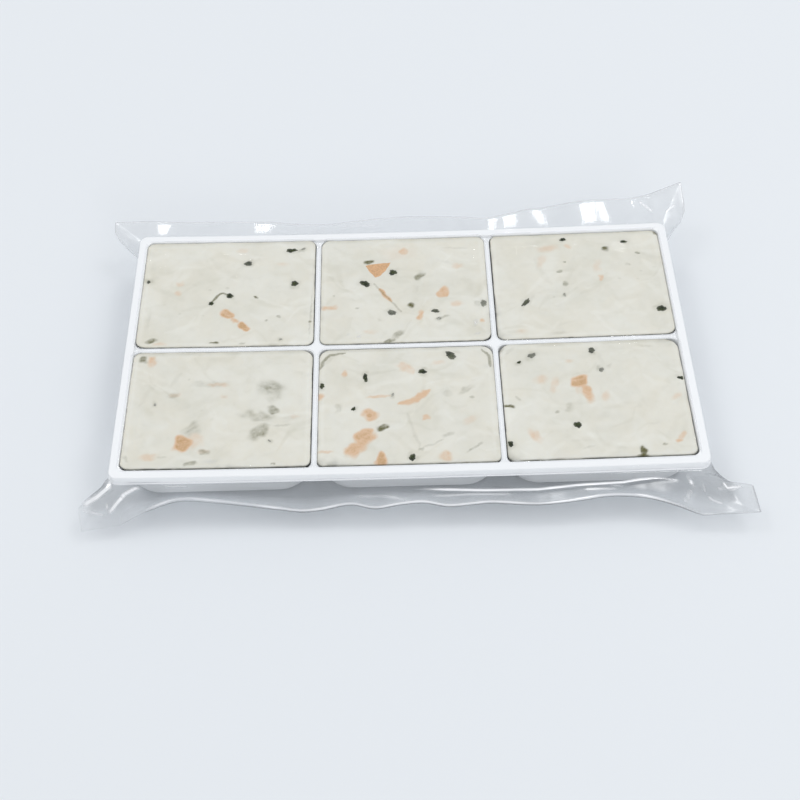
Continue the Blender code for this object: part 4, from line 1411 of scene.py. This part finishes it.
# Rows of points from the rim over the lip to the seam, and from the seam back under the tray
def skirtShape(ring, seam, earAt):
    limit = np.array([pack["halfLength"], pack["halfWidth"]]) - film["core"]
    away = ring[:, :2] - np.clip(ring[:, :2], -limit, limit)
    outward = np.zeros_like(ring)
    outward[:, :2] = away / np.linalg.norm(away, axis=1)[:, None]
    back = smoothStep(pack["halfWidth"] - 4 * mm, pack["halfWidth"] - 1 * mm, ring[:, 1])
    flapLevel = easedTable(film["backSeam"], ring[:, 0])[1]
    rows = []
    for behind, beside, down in film["lipRows"]:
        point = ring + outward * (beside + (behind - beside) * back)[:, None] * mm
        fallen = down - film["edgeDip"]
        top = bowUp(point)[:, 2]
        level = top - (top - flapLevel) * fallen / (film["lipRows"][-1][2] - film["edgeDip"])
        point[:, 2] -= fallen * mm
        point = bowUp(point)
        point[:, 2] += (level - point[:, 2]) * back
        rows.append(point)
    lip = rows[-1]
    reach = np.linalg.norm((seam - lip)[:, :2], axis=1)
    loose = smoothStep(0.5 * mm, 5 * mm, reach)
    arc = np.concatenate([[0], np.cumsum(np.linalg.norm(np.diff(seam, axis=0), axis=1))])
    shares = 1 - (1 - np.linspace(0, 1, film["upperRows"] + 1)[1:]) ** 1.25
    normal = outward * 0.55 + np.array([0, 0, 0.83])
    corner = (ring[:, 0] > 0) & (ring[:, 1] < 0) & (earAt >= 0)
    sag = film["earSag"] * np.where(corner, np.sin(pi * np.clip(earAt, 0, 1)) ** 1.3, 0.0)
    for t in shares:
        point = lip + (seam - lip) * t
        point += normal * (skirtWave(t, arc, ring, reach) * loose)[:, None]
        point[:, 2] -= sag * sin(pi * t)
        point[:, 2] += film["seamRise"] * seamLine(t, reach) * loose * np.where(ring[:, 1] > 0, 0.3, 1.0)
        rows.append(point)
    foldLightAndShade = foldFilm(rows, normal, loose)
    foot = np.stack([ring[:, 0] * (film["foot"][0] / np.abs(ring[:, 0]).max()),
                     ring[:, 1] * (film["foot"][1] / np.abs(ring[:, 1]).max()),
                     np.full(len(ring), film["foot"][2])], 1)
    upper = rows[len(film["lipRows"]):]
    lower = []
    for u in np.linspace(0, 1, film["lowerRows"] + 1)[1:]:
        spot = (1 - u) * (len(upper) - 1)
        low = int(np.floor(spot))
        high = min(low + 1, len(upper) - 1)
        beside = upper[low] + (upper[high] - upper[low]) * (spot - low) - np.array([0, 0, film["layerGap"]])
        straight = seam + (foot - seam) * u
        part = np.maximum(smoothStep(0.18, 0.75, u), u * (1 - loose))
        point = beside + (straight - beside) * np.reshape(part, (-1, 1))
        point[:, 2] = np.maximum(point[:, 2], film["foot"][2])
        lower.append(point)
    line = np.stack([np.zeros(len(ring))] * len(film["lipRows"]) + [seamLine(t, reach) for t in shares])
    return rows, lower, foldLightAndShade, loose, line


# Raises the folds in the rows of loose film, and returns their painted highlight and painted shade there
def foldFilm(rows, normal, loose):
    first = len(film["lipRows"])
    count = len(rows) - first
    flat = np.concatenate(rows[first:])
    level = np.repeat((np.arange(count) + 1) / count, len(loose))
    free = smoothStep(0, 0.12, level) * (1 - smoothStep(0.9, 1.0, level)) * np.tile(loose, count)
    px, py = pixelsOf(flat)
    rise = np.zeros(len(flat))
    for pixels, height, width, white, dark in folds:
        away, along = lineDistance(px, py, pixels)
        ends = smoothStep(0, 0.12, along) * (1 - smoothStep(0.88, 1, along)) * 0.6 + 0.4
        rise += height * mm * ends * np.exp(-(away / (1.5 * width)) ** 1.4)
    flat += np.tile(normal, (count, 1)) * (rise * free)[:, None]
    rows[first:] = list(flat.reshape(count, -1, 3))
    every = np.concatenate(rows)
    px, py = pixelsOf(every)
    whiteMask = np.zeros(len(every))
    shadeMask = np.zeros(len(every))
    for pixels, height, width, white, dark in folds:
        away, along = lineDistance(px, py, pixels)
        ends = smoothStep(-0.02, 0.15, along) * (1 - smoothStep(0.85, 1.02, along))
        core = ends * np.exp(-(away / (0.62 * width)) ** 2)
        whiteMask = np.maximum(whiteMask, white * core)
        shadeMask = np.maximum(shadeMask, dark * core)
    return whiteMask.reshape(len(rows), -1), shadeMask.reshape(len(rows), -1)


# The colours of the skirt's points: haze, painted highlight lines, painted shade lines and how crumpled it is
def paintSkirt(skirt, ring, seam, earAt, foldLightAndShade, loose, line, col, row):
    first = len(film["lipRows"])
    last = len(foldLightAndShade[0])
    front = ring[:, 1] < 0
    above = row <= last
    away = np.clip((row - first) / (last - first), 0, 1)
    blank = np.zeros((1, len(ring)))
    tail = np.zeros((film["lowerRows"], len(ring)))
    white, dark, sealHighlight = (np.concatenate([blank, rows, tail])[row, col] for rows in (*foldLightAndShade, line))
    haze = np.where(above, smoothStep(-0.15, 0.2, away), 0.45) * np.maximum(loose[col], 0.25)
    middle, leftEnd, rightEnd = film["flapHaze"]
    farCorner = smoothStep(*film["flapEnds"], np.abs(ring[:, 0]))
    behind = (middle + np.where(ring[:, 0] > 0, rightEnd, leftEnd) * farCorner)[col]
    haze = haze * np.where(row < first, 0.0, np.where(front[col], smoothStep(0.05, 0.6, away), behind))
    # layered film near the lip, partly painted shade under the lip
    layers = film["layers"] * (1 - smoothStep(0.15, 0.75, away)) * loose[col]
    layers = layers * (front[col] & (row >= first) & above)
    faded = 0.8 * ((earAt >= 0) & (ring[:, 0] < 0) & front)[col]
    haze = haze * (1 - faded * np.where(above, smoothStep(0.4, 0.95, away), 0.9))
    begin, full, late, faint = (place * mm for place in film["seamFade"])
    shown = smoothStep(begin, full, seam[:, 0]) * (1 - 0.85 * smoothStep(late, faint, seam[:, 0]))
    fade = np.where(front, shown, 0.55)
    uneven = 0.8 + 0.3 * softNoise(seam[:, 0], seam[:, 1], 9 * mm, 540)
    # painted highlight along the sealed line, and a painted shadow line at the film's edge
    sealHighlight = sealHighlight * (loose * (0.06 + 0.94 * fade) * uneven)[col]
    paintedEdgeLine = film["edgeShadow"] * (loose * fade * np.where(front, 1.0, 0.25))[col]
    paintedEdgeLine = paintedEdgeLine * np.exp(-((row - last) / 1.3) ** 2)
    white = np.maximum(white, film["seamHighlight"] * sealHighlight) * (1 - paintedEdgeLine)
    tight = 0.75 + 0.25 * softNoise(ring[:, 0], ring[:, 1], 7 * mm, 520)
    # painted highlight along the lip's foot
    lipHighlightMask = film["lipHighlight"] * tight * (ring[:, 1] < -pack["halfWidth"] + 2 * mm)
    white = np.maximum(white, lipHighlightMask[col] * ((row == first - 3) | (row == first - 2)))
    ripple = ((ring[:, 1] < -0.055) | (earAt >= 0))[col] * np.minimum(away * 4, 1)
    dark = np.maximum(dark, np.maximum(paintedEdgeLine, layers))
    setColours(skirt, "veil", np.stack([haze, white, dark, ripple], 1))


def makeBag():
    top, ring = makeTopSheet()
    seam, earAt = makeSeam(ring)
    rows, lower, foldLightAndShade, loose, line = skirtShape(ring, seam, earAt)
    levels = [bowUp(ring), *rows, *lower]
    count = len(ring)
    skirt, col, row = addGrid(count, len(levels) - 1)
    col = col % count
    setPoints(skirt, np.stack(levels)[row, col])
    paintSkirt(skirt, ring, seam, earAt, foldLightAndShade, loose, line, col, row)
    bag = joinAll([top, skirt], "bagFilm")
    startEdit(bag)
    selectAll()
    bpy.ops.mesh.remove_doubles(threshold=2e-6)
    closeOff(bag)
    endEdit()
    settle(bag, 180)
    return bag


def filmMaterial():
    material, tree, shader = newMaterial("clearFilm")
    veil, white, dark, crumpled = addPaint(tree, "veil")
    edge = tree.nodes.new("ShaderNodeLayerWeight")
    setInputs(edge, {"Blend": 0.35})
    cloud, height = addMottle(tree, 45.0, 300.0, 0.3)
    body = addSum(tree, veil, addRange(tree, cloud, 0.35, 0.65, 0.14, 0.30), 0.022)
    body = addSum(tree, edge.outputs["Facing"], addRange(tree, veil, 0.0, 1.0, 0.03, 0.30), body)
    body = addSum(tree, dark, 0.9, addSum(tree, white, 0.95, body))
    # the film's colour is tinted dark by the painted shade and white by the painted highlight
    tint = addFade(tree, dark, 0.0, 0.2, 1.0, film["colour"], film["dark"])
    rough = film["roughness"]
    gloss = addRange(tree, cloud, 0.3, 0.7, rough - 0.015, rough + 0.02)
    setInputs(shader, {
        "Base Color": addFade(tree, white, 0.0, 0.5, 1.0, tint, film["white"]),
        "Roughness": addSum(tree, crumpled, film["frontRough"], gloss),
        "IOR": film["ior"], "Alpha": body,
    })
    addBump(tree, shader, addSum(tree, height, crumpled, 0.0), 0.00012, 0.25)
    return material


bagFilm = makeBag()
hand(bagFilm, filmMaterial(), "bag")
print("bag modelled:", len(bagFilm.data.polygons), "faces")


# Floor and light
studio = {
    "floorColour": (0.80, 0.83, 0.86),
    "floorSize": 8.0,
    "air": (0.957, 0.975, 1.0),
    "airStrength": 0.74,
    "panels": {  # place, width and height in metres, and power
        "right": ((0.92, 0.72, 1.46), (0.66, 0.56), 5.6),
        "left": ((-0.92, 0.72, 1.46), (0.66, 0.56), 4.6),
        "front": ((0.45, -1.15, 0.50), (0.40, 0.30), 2.2),
    },
}

# Windows that the back flap mirrors. Each image is its corners in the photograph's pixels, from the
# far left one around to the near left one.
windows = {
    "distance": 3.0,
    "radiance": 13.0,
    "inner": 0.4,                # the film is read so far inside each image, where it is calm
    "images": [
        ((157.5, 223.8), (172.5, 223.8), (166.0, 234.0), (159.0, 234.0)),
        ((257.0, 224.0), (275.5, 224.0), (266.5, 232.5), (254.5, 232.5)),
        ((485.5, 217.5), (491.0, 216.8), (498.0, 225.5), (489.5, 226.0)),
        ((501.0, 214.2), (515.0, 212.0), (516.5, 225.0), (505.5, 225.5)),
        ((531.0, 209.0), (538.0, 208.0), (547.5, 224.0), (539.0, 224.5)),
        ((578.5, 201.8), (592.5, 201.2), (598.0, 222.0), (584.0, 222.6)),
        ((594.8, 201.2), (602.5, 200.8), (611.0, 220.8), (602.8, 221.4)),
    ],
}


def addFloor():
    floor = addShape(bpy.ops.mesh.primitive_plane_add, size=studio["floorSize"], location=(0, 0, 0))
    floor.name = "floor"
    freeze(floor)
    material, tree, shader = newMaterial("paleFloor")
    setInputs(shader, {"Base Color": studio["floorColour"], "Roughness": 0.55})
    floor.data.materials.append(material)


def addPanel(name, place, size, power):
    bpy.ops.object.light_add(type="AREA", location=place)
    lamp = bpy.context.object
    lamp.name = name
    lamp.data.shape = "RECTANGLE"
    lamp.data.size, lamp.data.size_y = size
    lamp.data.energy = power
    lamp.rotation_euler = (Vector((0, 0, 0)) - Vector(place)).to_track_quat("-Z", "Y").to_euler()


# Where the film, seen at a pixel, looks to: the place on the film and the direction from it
def mirrored(px, py):
    start = Vector(view["place"])
    facing = Vector()
    for side, up in ((0, 0), (1.4, 0), (-1.4, 0), (0, 1.0), (0, -1.0)):
        ray = (spotAt(px + side, py + up, 0.0) - start).normalized()
        found, place, normal, face = bagFilm.ray_cast(start, ray)
        if found:
            corners = [bagFilm.data.vertices[index] for index in bagFilm.data.polygons[face].vertices]
            shares = poly_3d_calc([corner.co for corner in corners], place)
            smooth = sum((corner.normal * share for corner, share in zip(corners, shares)), Vector())
            facing += smooth if smooth.z > 0 else -smooth
    facing.normalize()
    ray = (spotAt(px, py, 0.0) - start).normalized()
    place = bagFilm.ray_cast(start, ray)[1]
    return place, ray - 2 * ray.dot(facing) * facing


# One bright pane for each window, shaped so that its image in the film has the right corners
def addWindow(number, image):
    inner = windows["inner"]
    midX = sum(px for px, py in image) / 4
    midY = sum(py for px, py in image) / 4
    looks = [mirrored(midX + (px - midX) * inner, midY + (py - midY) * inner) for px, py in image]
    spots = [place + direction * windows["distance"] for place, direction in looks]
    middle = sum(spots, Vector()) / 4
    farLeft, farRight, nearRight, nearLeft = [middle + (spot - middle) / inner for spot in spots]
    pane = addShape(bpy.ops.mesh.primitive_plane_add, size=1.0)
    pane.name = "window%d" % number
    setPoints(pane, [nearLeft, nearRight, farLeft, farRight])
    pane.data.materials.append(windowLight)


def makeWindowLight():
    material, tree, shader = newMaterial("windowLight")
    setInputs(shader, {"Base Color": (0.0, 0.0, 0.0), "Emission Color": (1.0, 1.0, 1.0),
                       "Emission Strength": windows["radiance"]})
    return material


windowLight = makeWindowLight()


def addLight():
    world = bpy.data.worlds.new("softAir")
    bpy.context.scene.world = world
    world.use_nodes = True
    background = world.node_tree.nodes["Background"]
    setInputs(background, {"Color": studio["air"], "Strength": studio["airStrength"]})
    for name, (place, size, power) in studio["panels"].items():
        addPanel(name + "Panel", place, size, power)
    for number, image in enumerate(windows["images"], start=1):
        addWindow(number, image)
    bpy.context.scene.view_settings.view_transform = "Standard"


addCamera()
addFloor()
addLight()
print("floor, light and camera placed")
